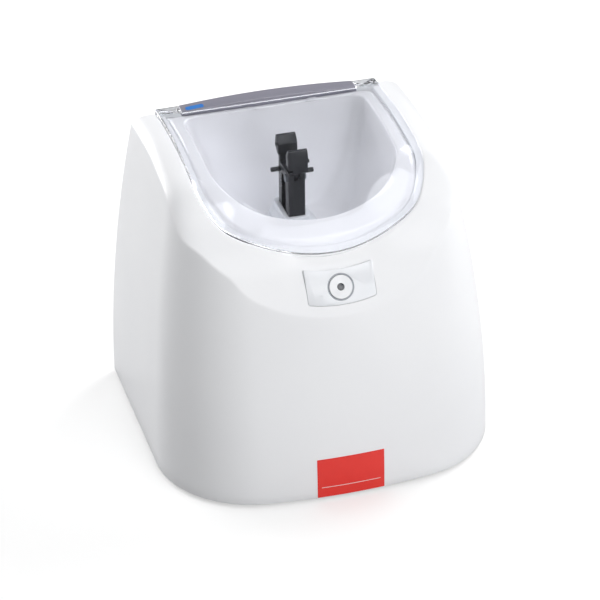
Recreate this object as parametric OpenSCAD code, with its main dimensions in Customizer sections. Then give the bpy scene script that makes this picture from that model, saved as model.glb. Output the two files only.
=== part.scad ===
// Dental capsule mixer (amalgamator), a table-top machine that shakes one capsule in a fork.
// X runs across the machine, Y runs from its front to its back, and Z runs up.
// The origin is on the table, under the middle of the machine.

/* [Housing] */
// Width of the housing at its foot
body_w = 210; // [196:1:230]
// Depth of the machine at its foot
body_d = 181; // [176:1:196]
// Height of the collar's crown above the table
crown_z = 185; // [180:1:195]
// Thickness of the housing wall
wall = 3; // [2.4:0.1:3.6]
// Radius of the slow upward curve of the side walls
side_curve_r = 860; // [760:10:1100]
// Radius of the slow upward curve of the front wall
front_curve_r = 393; // [380:1:440]
// Plan radius of the front wall
front_arc_r = 348; // [300:1:400]
// Plan radius of the two front corners
corner_r = 61; // [50:1:66]
// Plan radius of the two rear corners
rear_corner_r = 3; // [2:0.5:5]
// Height of the rubber feet under the housing's edge
foot_h = 2.5; // [2:0.1:4]
// Radius of a rubber foot
foot_r = 9; // [7:0.5:10]

/* [Collar] */
// Distance of the crown behind the middle
crown_y = 47; // [40:1:55]
// Fall of the collar from its crown to the rear wall
rear_fall = 3; // [2:0.5:5]
// Distance of the shoulder, where the collar starts to dive, in front of the middle
shoulder_y = 3; // [0:1:6]
// Fall of the collar from its crown to the shoulder
shoulder_fall = 5; // [4:0.5:6]
// Distance of the step's foot in front of the middle
step_y = 29; // [27:1:32]
// Fall of the collar from its crown to the step's foot
step_fall = 22.5; // [20:0.5:24]
// Distance of the brow, the upper end of the straight front slope, in front of the middle
brow_y = 57.5; // [56:0.5:60]
// Fall of the collar from its crown to the brow
brow_fall = 41.4; // [40:0.2:43]
// Angle of the straight front slope to the table
slope_angle = 59.6; // [57:0.1:62]

/* [Lid] */
// Distance from the lid's side edge to the side of the housing's foot
lid_margin = 34; // [32:0.5:36]
// Distance of the lid's front edge in front of the middle
lid_front = 52; // [50:1:54]
// Plan radius of the lid's front edge
lid_front_r = 100; // [90:1:120]
// Plan radius of the lid's front corners
lid_corner_r = 45; // [36:1:50]
// Thickness of the clear lid
lid_t = 2.5; // [2:0.1:3]
// Depth of the rebate that the lid lies in
rebate = 1; // [0.8:0.1:1.4]
// Depth of the grey bar along the lid's rear edge
bar_d = 10.5; // [9:0.5:11]
// Length of the grey bar
bar_w = 112.4; // [108:0.2:116]
// Height of the bar's arched top above the crown
bar_crown = 2.6; // [2.4:0.1:4]
// Radius of the lid's hinge pins
hinge_pin_r = 1.5; // [1.2:0.1:1.8]
// Height of the hinge axis below the crown
hinge_fall = 7.5; // [7:0.1:8.5]

/* [Bowl] */
// Width of the flange between the lid's side edge and the bowl's mouth
mouth_margin = 12; // [10:0.5:16]
// Height of the bowl's floor above the table
bowl_floor_z = 112; // [108:1:116]
// Radius of the rubber boot at its foot
boot_r = 24; // [23:0.5:25]
// Width of the bare floor between the boot's flange and the bowl's side
boot_margin = 7; // [5:0.5:9]
// Thickness of the bowl
bowl_t = 2.5; // [2:0.1:3]
// Width of the ledge between the lid's edge and the opening in the housing
ledge = 4; // [3:0.5:5]
// Thickness of the rubber seal round the bowl
seal_t = 1; // [0.8:0.1:1.5]

/* [Button panel] */
// Width of the button panel
panel_w = 42; // [38:1:46]
// Height of the button panel along the slope
panel_h = 21; // [20:0.5:24]
// Distance of the button panel to the right of the middle
panel_x = 1.7; // [0:0.1:3]
// Thickness of the button panel
panel_t = 2.4; // [2:0.1:3]
// Radius of the panel's arched upper and lower edges
panel_arc_r = 88; // [70:1:120]
// Distance of the button down the slope from the brow
button_drop = 13; // [12:0.5:15]
// Radius of the round start button
button_r = 7.2; // [6:0.1:7.6]
// Width of the front label
label_w = 42; // [36:1:50]
// Height of the front label
label_h = 26.5; // [20:0.5:32]

/* [Mixing fork] */
// Distance of the fork's middle behind the machine's middle
arm_y = 32; // [29:1:34]
// Height of the shaft and swing axis above the table
axis_z = 62; // [60:1:64]
// Width of the fork's stem
stem_w = 10.5; // [9:0.5:12]
// Depth of the fork's stem from front to back
stem_d = 23; // [21:0.5:25]
// Distance of the jaws' tops below the crown
jaw_fall = 7; // [6:0.5:10]
// Height of the jaws above the stem's top
jaw_h = 15.5; // [14.5:0.5:17]
// Width of the jaws
jaw_w = 12.6; // [11:0.2:14]
// Thickness of a jaw
jaw_t = 5.5; // [5:0.1:6]
// Clear gap between the two jaws
jaw_gap = 17; // [15:0.5:18]

/* [Drive] */
// Radius of the motor's can
motor_r = 27; // [24:0.5:29]
// Length of the motor's can
motor_l = 62; // [55:1:64]
// Radius of the motor shaft
shaft_r = 3; // [2.5:0.1:3.5]
// Radius of the self-aligning bearing's ball
ball_r = 13; // [12.5:0.1:13.5]
// Tilt of the oblique hub on the shaft
hub_tilt = 5; // [3:0.5:6]
// Thickness of the bracket's sheet steel
bracket_t = 2.5; // [2:0.1:3]
// Height of the rubber mounts
mount_h = 8.5; // [7:0.5:10]

/* [Rear wall] */
// Distance of the mains inlet from the middle
inlet_x = 62; // [58:1:66]
// Height of the mains inlet's middle
inlet_z = 34; // [32:1:38]
// Distance of the power switch from the middle
switch_x = 22; // [18:1:24]
// Proudness of the flanges on the rear wall
flange_t = 1.5; // [1.2:0.1:2]

/* [Hidden] */
$fn = 48;

// Clearances
run_gap = 0.05;
air = 0.3;
eps = 0.01;
far = 400;

// Steps of the outlines and of the lofted walls
arc_steps = 5;
bend_steps = 6;
loft_steps = 7;
curve_steps = 3;

// Places that follow from the sizes above
rear_y = body_d / 2 - flange_t;
front_y = -body_d / 2;
side_x = body_w / 2;
lid_w = body_w - 2 * lid_margin;
mouth_hw = lid_w / 2 - mouth_margin;
boot_flange = 5;
floor_hw = boot_r + boot_flange + boot_margin;
jaw_top_z = crown_z - jaw_fall;
stem_top_z = jaw_top_z - jaw_h;
plate_t = 3;
plate_top = foot_h + plate_t;
brow = [-brow_y, crown_z - brow_fall];
slope_dir = [cos(slope_angle), sin(slope_angle)];
lid_proud = lid_t - rebate + air;
lid_rear = rear_y - 0.5;
bar_front = lid_rear - bar_d;
opening_inset = ledge;
hinge_y = lid_rear - 4.5;
hinge_z = crown_z - hinge_fall;
notch_z = hinge_z - 6.5;
notch_hw = lid_w / 2 + 0.5;
pin_reach = 6.5;
shelf_t = 3;
bowl_rear = bar_front - 0.4;
flange_top = lid_proud - lid_t - 1.5;

// Height of a wall's inward lean at a height z, for a wall curve of radius r
function lean(z, r) = z * z / (2 * r);

// Right half of a D outline, from the middle of its front to the end of its corner
function d_half(hw, yf, rf, rc) =
    let (cx = hw - rc, fy = yf + rf)
    let (cy = fy - sqrt((rf - rc) * (rf - rc) - cx * cx))
    let (a = atan2(cx, fy - cy))
    concat(
        [for (i = [0 : arc_steps]) let (t = a * i / arc_steps) [rf * sin(t), fy - rf * cos(t)]],
        [for (i = [1 : bend_steps])
            let (t = a + (90 - a) * i / bend_steps) [cx + rc * sin(t), cy - rc * cos(t)]]);

// Rear right corner of a D outline, rounded with radius r
function rear_corner(hw, yr, r) =
    r <= 0 ? [[hw, yr]] : [for (t = [0, 45, 90]) [hw - r + r * cos(t), yr - r + r * sin(t)]];

// Whole D outline: half width, front, rear, front radius, corner radius, rear corner radius
function d_outline(hw, yf, yr, rf, rc, rr = 0) =
    let (half = concat(d_half(hw, yf, rf, rc), rear_corner(hw, yr, rr)))
    concat(half, [for (i = [len(half) - 1 : -1 : 1]) [-half[i].x, half[i].y]]);

function at_height(outline, z) = [for (p = outline) [p.x, p.y, z]];

// Solid through a stack of outlines that have the same number of points
module loft(rings) {
    n = len(rings[0]);
    m = len(rings);
    polyhedron(
        points = [for (r = rings) each r],
        faces = concat(
            [[for (i = [0 : n - 1]) i]],
            [[for (i = [n - 1 : -1 : 0]) (m - 1) * n + i]],
            [for (k = [0 : m - 2], i = [0 : n - 1], half = [0, 1])
                let (a = k * n + i, b = k * n + (i + 1) % n)
                half == 0 ? [a, a + n, b + n] : [a, b + n, b]]));
}

// Outline of the housing at a height z, moved inwards by off
function body_ring(z, off) =
    let (t = lean(z, side_curve_r) + off)
    at_height(d_outline(body_w / 2 - t, -body_d / 2 + lean(z, front_curve_r) + off, rear_y - off,
        front_arc_r - t, corner_r - t, max(rear_corner_r - off, 0.5)), z);

module body_shape(off, z0 = foot_h) {
    z1 = crown_z + 8;
    loft([for (i = [0 : loft_steps]) body_ring(z0 + (z1 - z0) * i / loft_steps, off)]);
}

// Smooth curve through points, after Catmull and Rom
function catmull(a, b, c, d, t) =
    0.5 * (2 * b + (c - a) * t + (2 * a - 5 * b + 4 * c - d) * t * t
        + (3 * b - a - 3 * c + d) * t * t * t);
function smooth(p, steps) =
    concat([for (i = [1 : len(p) - 3], j = [0 : steps - 1])
        catmull(p[i - 1], p[i], p[i + 1], p[i + 2], j / steps)], [p[len(p) - 2]]);

// Side view of the collar, as [y, z] from the front slope to the rear wall
slope_foot = brow - 110 * slope_dir;
collar_knots = [
    brow - 16 * slope_dir,
    brow,
    [-(brow_y + step_y) / 2, crown_z - 0.49 * brow_fall - 0.42 * step_fall],
    [-step_y, crown_z - step_fall],
    [-(step_y + shoulder_y) / 2 + 1, crown_z - (step_fall + shoulder_fall) / 2 + 2.25],
    [-shoulder_y, crown_z - shoulder_fall],
    [crown_y / 3, crown_z - 2],
    [crown_y, crown_z],
    [rear_y + 6, crown_z - rear_fall],
    [rear_y + 40, crown_z - 4 * rear_fall]];
collar = concat([slope_foot], smooth(collar_knots, curve_steps));

function curve_normal(p, i) =
    let (d = p[min(i + 1, len(p) - 1)] - p[max(i - 1, 0)]) [-d.y, d.x] / norm(d);
function lifted(p, h) = [for (i = [0 : len(p) - 1]) p[i] + h * curve_normal(p, i)];
function reversed(p) = [for (i = [len(p) - 1 : -1 : 0]) p[i]];

// Turns a side view [y, z] into a solid of width w across the machine
module across(w) {
    rotate([90, 0, 90])
        linear_extrude(height = w, center = true)
            children();
}

module under_collar(h) {
    p = lifted(collar, h);
    across(far)
        polygon(concat([[p[0].x, -1]], p, [[p[len(p) - 1].x, -1]]));
}

module collar_layer(h0, h1) {
    across(far)
        polygon(concat(lifted(collar, h0), reversed(lifted(collar, h1))));
}

// Upright prism on the lid's outline, moved inwards by off, that ends at rear
module lid_prism(off, rear, z0 = 90) {
    translate([0, 0, z0])
        linear_extrude(height = crown_z + 20 - z0)
            polygon(d_outline(lid_w / 2 - off, -lid_front + off, rear, lid_front_r - off,
                lid_corner_r - off));
}

// Moves children onto the front slope: their X and Y lie in it, and Z points out of it
module on_slope() {
    p = brow - button_drop * slope_dir;
    translate([panel_x, p.x, p.y])
        rotate([slope_angle, 0, 0])
            children();
}

// Cylinder along X or Y that starts at the origin
module rod_x(r, l) {
    rotate([0, 90, 0])
        cylinder(r = r, h = l);
}
module rod_y(r, l) {
    rotate([-90, 0, 0])
        cylinder(r = r, h = l);
}

module block(x0, x1, y0, y1, z0, z1) {
    translate([x0, y0, z0])
        cube([x1 - x0, y1 - y0, z1 - z0]);
}

module both_sides() {
    children();
    mirror([1, 0, 0])
        children();
}

// Cap screw with its head's underside at the origin, pointing down
module screw(r, l, head_r, head_h) {
    translate([0, 0, -l])
        cylinder(r = r, h = l + eps);
    difference() {
        cylinder(r = head_r, h = head_h);
        translate([0, 0, head_h * 0.5])
            cylinder(r = head_r * 0.5, h = head_h, $fn = 6);
    }
}

// HOUSING AND BASE
boss_x = body_w / 2 - 13;
boss_spots = [[-boss_x, -18], [boss_x, -18], [-boss_x, rear_y - 16], [boss_x, rear_y - 16]];
boss_r = 5;
boss_top = 30;
base_screw_r = 1.5;
foot_spots = [[-body_w / 3, -body_d * 0.31], [body_w / 3, -body_d * 0.31],
    [-body_w * 0.38, rear_y - 18], [body_w * 0.38, rear_y - 18]];
foot_stem_r = 3;
bowl_screw_x = lid_w / 2 + 4.5;
bowl_screw_ys = [12, 58];
bowl_screw_r = 1.25;
bowl_lip_bottom = -wall - seal_t - bowl_t;
ear_top = wall + seal_t;
scoop_r = 20;
scoop_depth = 2.2;
scoop_hw = 30;
scoop_up = 9;
window_w = 33;
window_h = 17.2;
panel_pad_t = 6;
label_t = 0.5;
label_z = foot_h + 0.5;

// Height of the collar above the table at a distance y behind the middle
function collar_z(y) = lookup(y, collar);

module bosses() {
    for (p = boss_spots) {
        translate([p.x, p.y, plate_top])
            cylinder(r = boss_r, h = boss_top - plate_top);
        block(min(p.x, sign(p.x) * (body_w / 2)), max(p.x, sign(p.x) * (body_w / 2)),
            p.y - 1.5, p.y + 1.5, plate_top, boss_top);
    }
    for (y = bowl_screw_ys)
        both_sides()
            translate([bowl_screw_x, y, collar_z(y) - ear_top + air])
                cylinder(r = 4, h = ear_top);
}

module hinge_shelf() {
    block(-notch_hw - pin_reach, notch_hw + pin_reach, bar_front, rear_y, notch_z - shelf_t, notch_z);
    both_sides()
        block(notch_hw, notch_hw + pin_reach, bar_front, rear_y, notch_z - shelf_t, crown_z);
}

module label_zone(grow, off0, off1) {
    intersection() {
        difference() {
            body_shape(off0, foot_h - 1);
            body_shape(off1, foot_h - 2);
        }
        block(-label_w / 2 - grow, label_w / 2 + grow, -body_d, 0, label_z - grow,
            label_z + label_h + grow);
    }
}

// Button panel's outline with its arched edges, grown by g
module panel_outline(g) {
    difference() {
        intersection() {
            square([panel_w + 2 * g, 2 * panel_h], center = true);
            translate([0, panel_arc_r - panel_h / 2])
                circle(r = panel_arc_r + g, $fn = 120);
        }
        translate([0, panel_arc_r + panel_h / 2])
            circle(r = panel_arc_r - g, $fn = 120);
    }
}

module scoop() {
    p = brow + scoop_up * slope_dir;
    translate([0, p.x, p.y])
        rotate([slope_angle - 4, 0, 0])
            translate([0, 0, scoop_r - scoop_depth - 0.6]) {
                rotate([0, 90, 0])
                    cylinder(r = scoop_r, h = 2 * scoop_hw, center = true);
                both_sides()
                    translate([scoop_hw - eps, 0, 0])
                        rotate([0, 90, 0])
                            cylinder(r1 = scoop_r, r2 = scoop_r - scoop_depth - 0.6, h = 12);
            }
}

inlet_cut_w = 27.4;
inlet_cut_h = 31.4;
switch_cut_w = 13.4;
switch_cut_h = 19.6;
vent_w = 3;
vent_h = 26;
vent_pitch = 7;
vent_count = 9;

module rear_cuts() {
    block(-inlet_x - inlet_cut_w / 2, -inlet_x + inlet_cut_w / 2, rear_y - 6, rear_y + 5,
        inlet_z - inlet_cut_h / 2, inlet_z + inlet_cut_h / 2);
    block(-switch_x - switch_cut_w / 2, -switch_x + switch_cut_w / 2, rear_y - 6, rear_y + 5,
        inlet_z - switch_cut_h / 2, inlet_z + switch_cut_h / 2);
    for (i = [0 : vent_count - 1])
        translate([20 + i * vent_pitch, rear_y - 6, 84])
            cube([vent_w, 12, vent_h]);
}

module housing() {
    color("white")
    difference() {
        union() {
            difference() {
                intersection() {
                    body_shape(0);
                    under_collar(0);
                }
                intersection() {
                    body_shape(wall, foot_h - 1);
                    under_collar(-wall);
                }
            }
            intersection() {
                body_shape(wall / 2);
                under_collar(-wall / 2);
                union() {
                    bosses();
                    hinge_shelf();
                    on_slope()
                        block(-panel_w / 2 - 3, panel_w / 2 + 3, -panel_h / 2 - 4, panel_h / 2 + 3,
                            -panel_pad_t, 2);
                }
            }
        }
        intersection() {
            collar_layer(-rebate, 12);
            lid_prism(-0.5, rear_y + 5);
        }
        lid_prism(opening_inset, bar_front + 1);
        block(-notch_hw, notch_hw, bar_front, rear_y + 5, notch_z, crown_z + 20);
        scoop();
        on_slope() {
            translate([0, 0, -panel_t])
                linear_extrude(height = 10)
                    panel_outline(air);
            block(-window_w / 2, window_w / 2, -window_h / 2, window_h / 2, -20, 1);
        }
        both_sides()
            translate([notch_hw - 1, hinge_y, hinge_z])
                rod_x(hinge_pin_r, pin_reach);
        for (p = boss_spots)
            translate([p.x, p.y, 0])
                cylinder(r = base_screw_r, h = plate_top + 14);
        for (y = bowl_screw_ys)
            both_sides()
                translate([bowl_screw_x, y, collar_z(y) - ear_top - 1])
                    cylinder(r = bowl_screw_r, h = ear_top);
        label_zone(0.2, -2, label_t);
        rear_cuts();
    }
}

// Where the motor's bracket and can begin along X
plate_x = 14;
can_x = plate_x + bracket_t;
mount_spots = [for (x = [-20, can_x + motor_l - 6.5], s = [-1, 1]) [x, arm_y + 30 * s]];
board_z = 15;
board_hw = side_x - 47;
board_front = front_y + 24.5;
board_rear = front_y + 70.5;
board_hole_in = 6;
board_spots = [for (y = [board_front + board_hole_in, board_rear - board_hole_in], s = [-1, 1])
    [s * (board_hw - board_hole_in), y]];
trafo_x = -side_x + 39;
trafo_y = 28;
mount_screw_r = 2;

module base_plate() {
    ring = d_outline(body_w / 2 - wall - air, -body_d / 2 + wall + air, rear_y - wall - air,
        front_arc_r - wall - air, corner_r - wall - air, 1);
    color("gray")
    difference() {
        translate([0, 0, foot_h])
            linear_extrude(height = plate_t)
                polygon(ring);
        for (p = boss_spots)
            translate([p.x, p.y, 0]) {
                cylinder(r = base_screw_r + 0.2, h = 20);
                cylinder(r = 3.4, h = foot_h + 1.8);
            }
        for (p = foot_spots)
            translate([p.x, p.y, 0])
                cylinder(r = foot_stem_r, h = 20);
        for (p = mount_spots)
            translate([p.x, p.y, 0])
                cylinder(r = mount_screw_r + 0.2, h = 20);
        for (i = [0 : 7])
            translate([-28 + i * 8, -12, 0])
                cube([3, 34, 20]);
    }
}

module feet() {
    color("dimgray")
    for (p = foot_spots)
        translate([p.x, p.y, 0]) {
            cylinder(r1 = foot_r - 0.8, r2 = foot_r, h = foot_h);
            cylinder(r = foot_stem_r, h = plate_top + 0.6);
        }
}

module base_screws() {
    color("silver")
    for (p = boss_spots)
        translate([p.x, p.y, foot_h + 1.8])
            mirror([0, 0, 1])
                screw(base_screw_r, plate_top + 12 - foot_h, 3, 1.6);
}

module front_label() {
    color("red")
        label_zone(0, 0, label_t);
}

// BOWL, SEAL AND BOOT
mouth_front = -lid_front + 18;
mouth_rear = bowl_rear - bowl_t - 0.5;
floor_front = arm_y - floor_hw;
floor_rear = arm_y + floor_hw - 2;
bowl_steps = 6;
ring_t = 2;
lip_inset = 1.5;

function mix(a, b, t) = a + (b - a) * t;

// Outline of the bowl's inside at step i of its height, moved inwards by off
function bowl_outline(i, off) =
    let (s = sqrt(i / bowl_steps))
    d_outline(mix(floor_hw, mouth_hw, s) - off, mix(floor_front, mouth_front, s) + off,
        mix(floor_rear, mouth_rear, s) - off, mix(55, 82, s) - off, mix(33, 38, s) - off,
        mix(26, 9, s) - off / 2);
function bowl_z(i) = mix(bowl_floor_z, crown_z + 3, i / bowl_steps);

module bowl_inside() {
    loft([for (i = [0 : bowl_steps]) at_height(bowl_outline(i, 0), bowl_z(i))]);
}
module bowl_outside() {
    loft([for (i = [0 : bowl_steps]) at_height(bowl_outline(i, -bowl_t), bowl_z(i) - bowl_t)]);
}

module mixing_bowl() {
    color("whitesmoke")
    difference() {
        union() {
            intersection() {
                bowl_outside();
                under_collar(flange_top);
            }
            intersection() {
                collar_layer(bowl_lip_bottom, flange_top);
                lid_prism(opening_inset + 0.4, bowl_rear);
            }
            intersection() {
                collar_layer(bowl_lip_bottom, -wall - seal_t);
                union() {
                    lid_prism(lip_inset, bowl_rear);
                    for (y = bowl_screw_ys)
                        both_sides() {
                            translate([bowl_screw_x, y, bowl_floor_z])
                                cylinder(r = 4, h = far);
                            block(lid_w / 2 - 4, bowl_screw_x, y - 4, y + 4, bowl_floor_z, far);
                        }
                }
            }
        }
        bowl_inside();
        translate([0, arm_y, bowl_floor_z - 10])
            cylinder(r = boot_r - 3, h = 20);
        for (y = bowl_screw_ys)
            both_sides()
                translate([bowl_screw_x, y, bowl_floor_z])
                    cylinder(r = bowl_screw_r + 0.2, h = far);
    }
}

module bowl_seal() {
    color("black")
    difference() {
        intersection() {
            collar_layer(-wall - seal_t, -wall);
            lid_prism(lip_inset, bowl_rear);
        }
        lid_prism(opening_inset - 0.5, bowl_rear + 1);
    }
}

module bowl_screws() {
    color("silver")
    for (y = bowl_screw_ys)
        both_sides()
            translate([bowl_screw_x, y, collar_z(y) + bowl_lip_bottom - 0.4])
                mirror([0, 0, 1])
                    screw(bowl_screw_r, bowl_t + ear_top - 1, 2.4, 1.8);
}

module boot_ring() {
    color("gainsboro")
    translate([0, arm_y, bowl_floor_z + 1.5])
        rotate_extrude($fn = 96)
            translate([boot_r - 2, 0])
                square([boot_flange + 2, ring_t]);
}

// Outline of a box with rounded corners: half width, half depth, corner radius
function round_box(hx, hy, r, n = 4) =
    [for (c = [[1, -1, -90], [1, 1, 0], [-1, 1, 90], [-1, -1, 180]], i = [0 : n])
        let (t = c[2] + 90 * i / n) [c.x * (hx - r) + r * cos(t), arm_y + c.y * (hy - r) + r * sin(t)]];

// Folds of the boot as [height over the bowl's floor, share of the way up, bulge]
boot_folds = [[1.5, 0, 0], [5, 0.16, 0], [6.6, 0.26, 0.9], [9.4, 0.42, 0], [11, 0.52, 0.9],
    [14, 0.7, 0], [15.6, 0.78, 0.9], [19, 0.96, 0], [22, 1, 0]];
boot_base_r = boot_r - 2.6;
boot_top = [stem_w / 2 + 3.2, stem_d / 2 + 3.2, 3.6];
boot_t = 1.5;
function boot_ring_at(f, off) =
    at_height(round_box(mix(boot_base_r, boot_top.x, f[1]) + f[2] - off,
        mix(boot_base_r, boot_top.y, f[1]) + f[2] - off,
        mix(boot_base_r, boot_top.z, f[1]) + f[2] - off), bowl_floor_z + f[0]);

module arm_boot() {
    color("lightgray")
    difference() {
        union() {
            loft([for (f = boot_folds) boot_ring_at(f, 0)]);
            translate([0, arm_y, bowl_floor_z])
                cylinder(r = boot_r + boot_flange, h = 1.5);
        }
        loft([for (f = boot_folds) if (f[0] < 20) boot_ring_at([f[0] - 0.6, f[1], f[2]], boot_t)]);
        translate([0, arm_y, bowl_floor_z - 1])
            cylinder(r = boot_base_r - boot_t, h = 2.2);
        translate([-stem_w / 2, arm_y - stem_d / 2, bowl_floor_z])
            cube([stem_w, stem_d, 30]);
    }
}

// LID
block_bottom = hinge_z - 3.5;

module lid() {
    color("lightblue", 0.5)
    difference() {
        union() {
            intersection() {
                collar_layer(-rebate + air, lid_proud);
                lid_prism(0, lid_rear);
            }
            intersection() {
                under_collar(lid_proud);
                lid_prism(0, lid_rear);
                both_sides()
                    block(bar_w / 2, lid_w / 2, bar_front + 1.5, lid_rear, block_bottom, crown_z + 9);
            }
        }
        block(-bar_w / 2, bar_w / 2, bar_front, lid_rear + 5, notch_z, crown_z + 20);
        both_sides()
            translate([bar_w / 2 + 4, hinge_y, hinge_z])
                rod_x(hinge_pin_r + run_gap, 40);
    }
}

bar_bottom = crown_z - 6;
bar_arc_r = 653;
magnet_r = 2;

module lid_bar() {
    color("slategray")
    difference() {
        translate([0, lid_rear, 0])
            rotate([90, 0, 0])
                linear_extrude(height = bar_d)
                    intersection() {
                        translate([-bar_w / 2, bar_bottom])
                            square([bar_w, 20]);
                        translate([0, crown_z + bar_crown - bar_arc_r])
                            circle(r = bar_arc_r, $fn = 300);
                    }
        translate([bar_w / 2 - 8, lid_rear - bar_d / 2, bar_bottom + 3])
            rod_x(magnet_r, 20);
    }
}

badge_t = 0.4;
module bar_badge() {
    color("dodgerblue")
    translate([-bar_w / 2 + 9, lid_rear - bar_d + 3, 0])
        intersection() {
            block(-6, 6, -2, 3, bar_bottom, crown_z + 20);
            translate([bar_w / 2 - 9, 8, crown_z + bar_crown - bar_arc_r])
                rotate([90, 0, 0])
                    difference() {
                        cylinder(r = bar_arc_r + badge_t, h = 16, $fn = 300);
                        translate([0, 0, -1])
                            cylinder(r = bar_arc_r, h = 18, $fn = 300);
                    }
        }
}

module lid_magnet() {
    color("silver")
    translate([bar_w / 2 - 8, lid_rear - bar_d / 2, bar_bottom + 3])
        rod_x(magnet_r, 8);
}

module hinge_pins() {
    color("silver")
    both_sides()
        translate([bar_w / 2 + 4.5, hinge_y, hinge_z])
            rod_x(hinge_pin_r, notch_hw - 1 + pin_reach - bar_w / 2 - 4.5);
}

module lid_sensor() {
    color("darkgreen")
    block(bar_w / 2 - 10, bar_w / 2 + 4, bar_front + 2, bar_front + 8, notch_z - shelf_t - 4,
        notch_z - shelf_t);
}

// BUTTON PANEL
ring_r = button_r + 1.3;
ring_in_r = button_r + run_gap;
stem_end = -7.1;
sw_body_top = -8.4;
board_top = -12;
board_t = 1.6;
switch_hole_r = 1.75;
post_x = 12.5;

module button_panel() {
    color("gainsboro")
    on_slope()
        difference() {
            translate([0, 0, -panel_t])
                linear_extrude(height = panel_t)
                    panel_outline(0);
            translate([0, 0, -20])
                cylinder(r = ring_r, h = 40, $fn = 96);
        }
}

module button_ring() {
    color("gray")
    on_slope()
        difference() {
            union() {
                translate([0, 0, -panel_t])
                    cylinder(r = ring_r, h = panel_t - 0.2, $fn = 96);
            }
            translate([0, 0, -20])
                cylinder(r = ring_in_r, h = 40, $fn = 96);
        }
}

module start_button() {
    dish_r = 40;
    color("white")
    on_slope()
        difference() {
            union() {
                translate([0, 0, -panel_t - 0.6])
                    cylinder(r = button_r, h = panel_t + 0.6 + 0.3, $fn = 96);
                translate([0, 0, -panel_t - 2])
                    cylinder(r = 6, h = 2);
                translate([0, 0, stem_end])
                    cylinder(r = 1.8, h = 6);
            }
            translate([0, 0, dish_r - 0.4])
                sphere(r = dish_r, $fn = 96);
            translate([0, 0, -1.2])
                cylinder(r = 2.2, h = 5);
        }
}

module button_lens() {
    color("black")
    on_slope()
        translate([0, 0, -1.2])
            cylinder(r = 2.2, h = 0.9);
}

module switch_plunger() {
    color("black")
    on_slope()
        translate([0, 0, sw_body_top - 0.8])
            cylinder(r = switch_hole_r - run_gap, h = stem_end - sw_body_top + 0.8);
}

module tact_switch() {
    color("dimgray")
    on_slope()
        difference() {
            block(-3, 3, -3, 3, board_top, sw_body_top);
            translate([0, 0, board_top + 0.8])
                cylinder(r = switch_hole_r, h = 10);
        }
}

module switch_board() {
    color("green")
    on_slope()
        difference() {
            block(-window_w / 2 + 1, window_w / 2 - 1, -7, 7, board_top - board_t, board_top);
            both_sides()
                translate([post_x, 0, board_top - 5])
                    cylinder(r = 1.2, h = 10);
        }
    color("white")
    on_slope()
        both_sides()
            difference() {
                translate([post_x, 0, board_top])
                    cylinder(r = 2.6, h = -board_top - panel_t);
                translate([post_x, 0, board_top - 1])
                    cylinder(r = 1, h = 8);
            }
}

module switch_screws() {
    color("silver")
    on_slope()
        both_sides()
            translate([post_x, 0, board_top - board_t])
                mirror([0, 0, 1])
                    screw(1, 5, 2, 1.2);
}

// MIXING FORK
jaw_mid = arm_y - 0.5;
jaw_back = jaw_mid + jaw_gap / 2;
jaw_front = jaw_mid - jaw_gap / 2;
stem_front = arm_y - stem_d / 2;
stem_back = arm_y + stem_d / 2;
stem_bottom = axis_z + 22;
groove_d = 9;
groove_deep = 2.2;
jaw_pin_r = 1.5;
front_jaw_z = jaw_top_z + 1.8;
jaw_axis = [stem_front + 4.4, stem_top_z - 3.5];
slot_wall = 1.2;
peg_r = 1.5;
tongue_hw = 1.6;
spring_room = 1.9;
spring_wire_r = 0.3;

module fork_arm() {
    color("#26262b")
    difference() {
        union() {
            block(-stem_w / 2, stem_w / 2, stem_front, stem_back, stem_bottom, stem_top_z);
            block(-stem_w / 2, stem_w / 2, jaw_back, stem_back, stem_top_z - 1, stem_top_z + 8);
            // Rear jaw: a side view drawn as [y, z], with a lead-in face that slopes back
            across(jaw_w)
                polygon([[jaw_back, stem_top_z + 4], [jaw_back, jaw_top_z - 4.8],
                    [jaw_back + 3.2, jaw_top_z], [jaw_back + jaw_t, jaw_top_z],
                    [jaw_back + jaw_t + 1, jaw_top_z - 5], [jaw_back + jaw_t, stem_top_z + 8],
                    [stem_back, stem_top_z + 4]]);
            translate([-jaw_w / 2 - 4.5, stem_back - 2, stem_top_z - 5.5])
                rod_x(peg_r, 6);
            translate([-jaw_w / 2 - 0.8, jaw_back + 2.6, jaw_top_z - 5.5])
                rod_x(peg_r, 3);
        }
        both_sides()
            block(stem_w / 2 - groove_deep, stem_w, arm_y - groove_d / 2, arm_y + groove_d / 2,
                stem_bottom + 12, stem_top_z - 5);
        // Slot for the front jaw's tongue, and the bore of its pin
        block(-tongue_hw - spring_room, tongue_hw + spring_room, stem_front + slot_wall,
            stem_front + 9, stem_top_z - 9, stem_top_z + 1);
        block(-tongue_hw - air, tongue_hw + air, stem_front - 1, stem_front + 2,
            stem_top_z - 4, stem_top_z + 1);
        translate([-stem_w, jaw_axis.x, jaw_axis.y])
            rod_x(jaw_pin_r, 2 * stem_w);
        // Holds the yoke's tang
        block(-3, 3, arm_y - 6, arm_y + 6, stem_bottom - 1, stem_bottom + 10);
        for (z = [stem_bottom + 3, stem_bottom + 7.5])
            translate([-stem_w, arm_y, z])
                rod_x(1.25, 2 * stem_w);
    }
}

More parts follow.
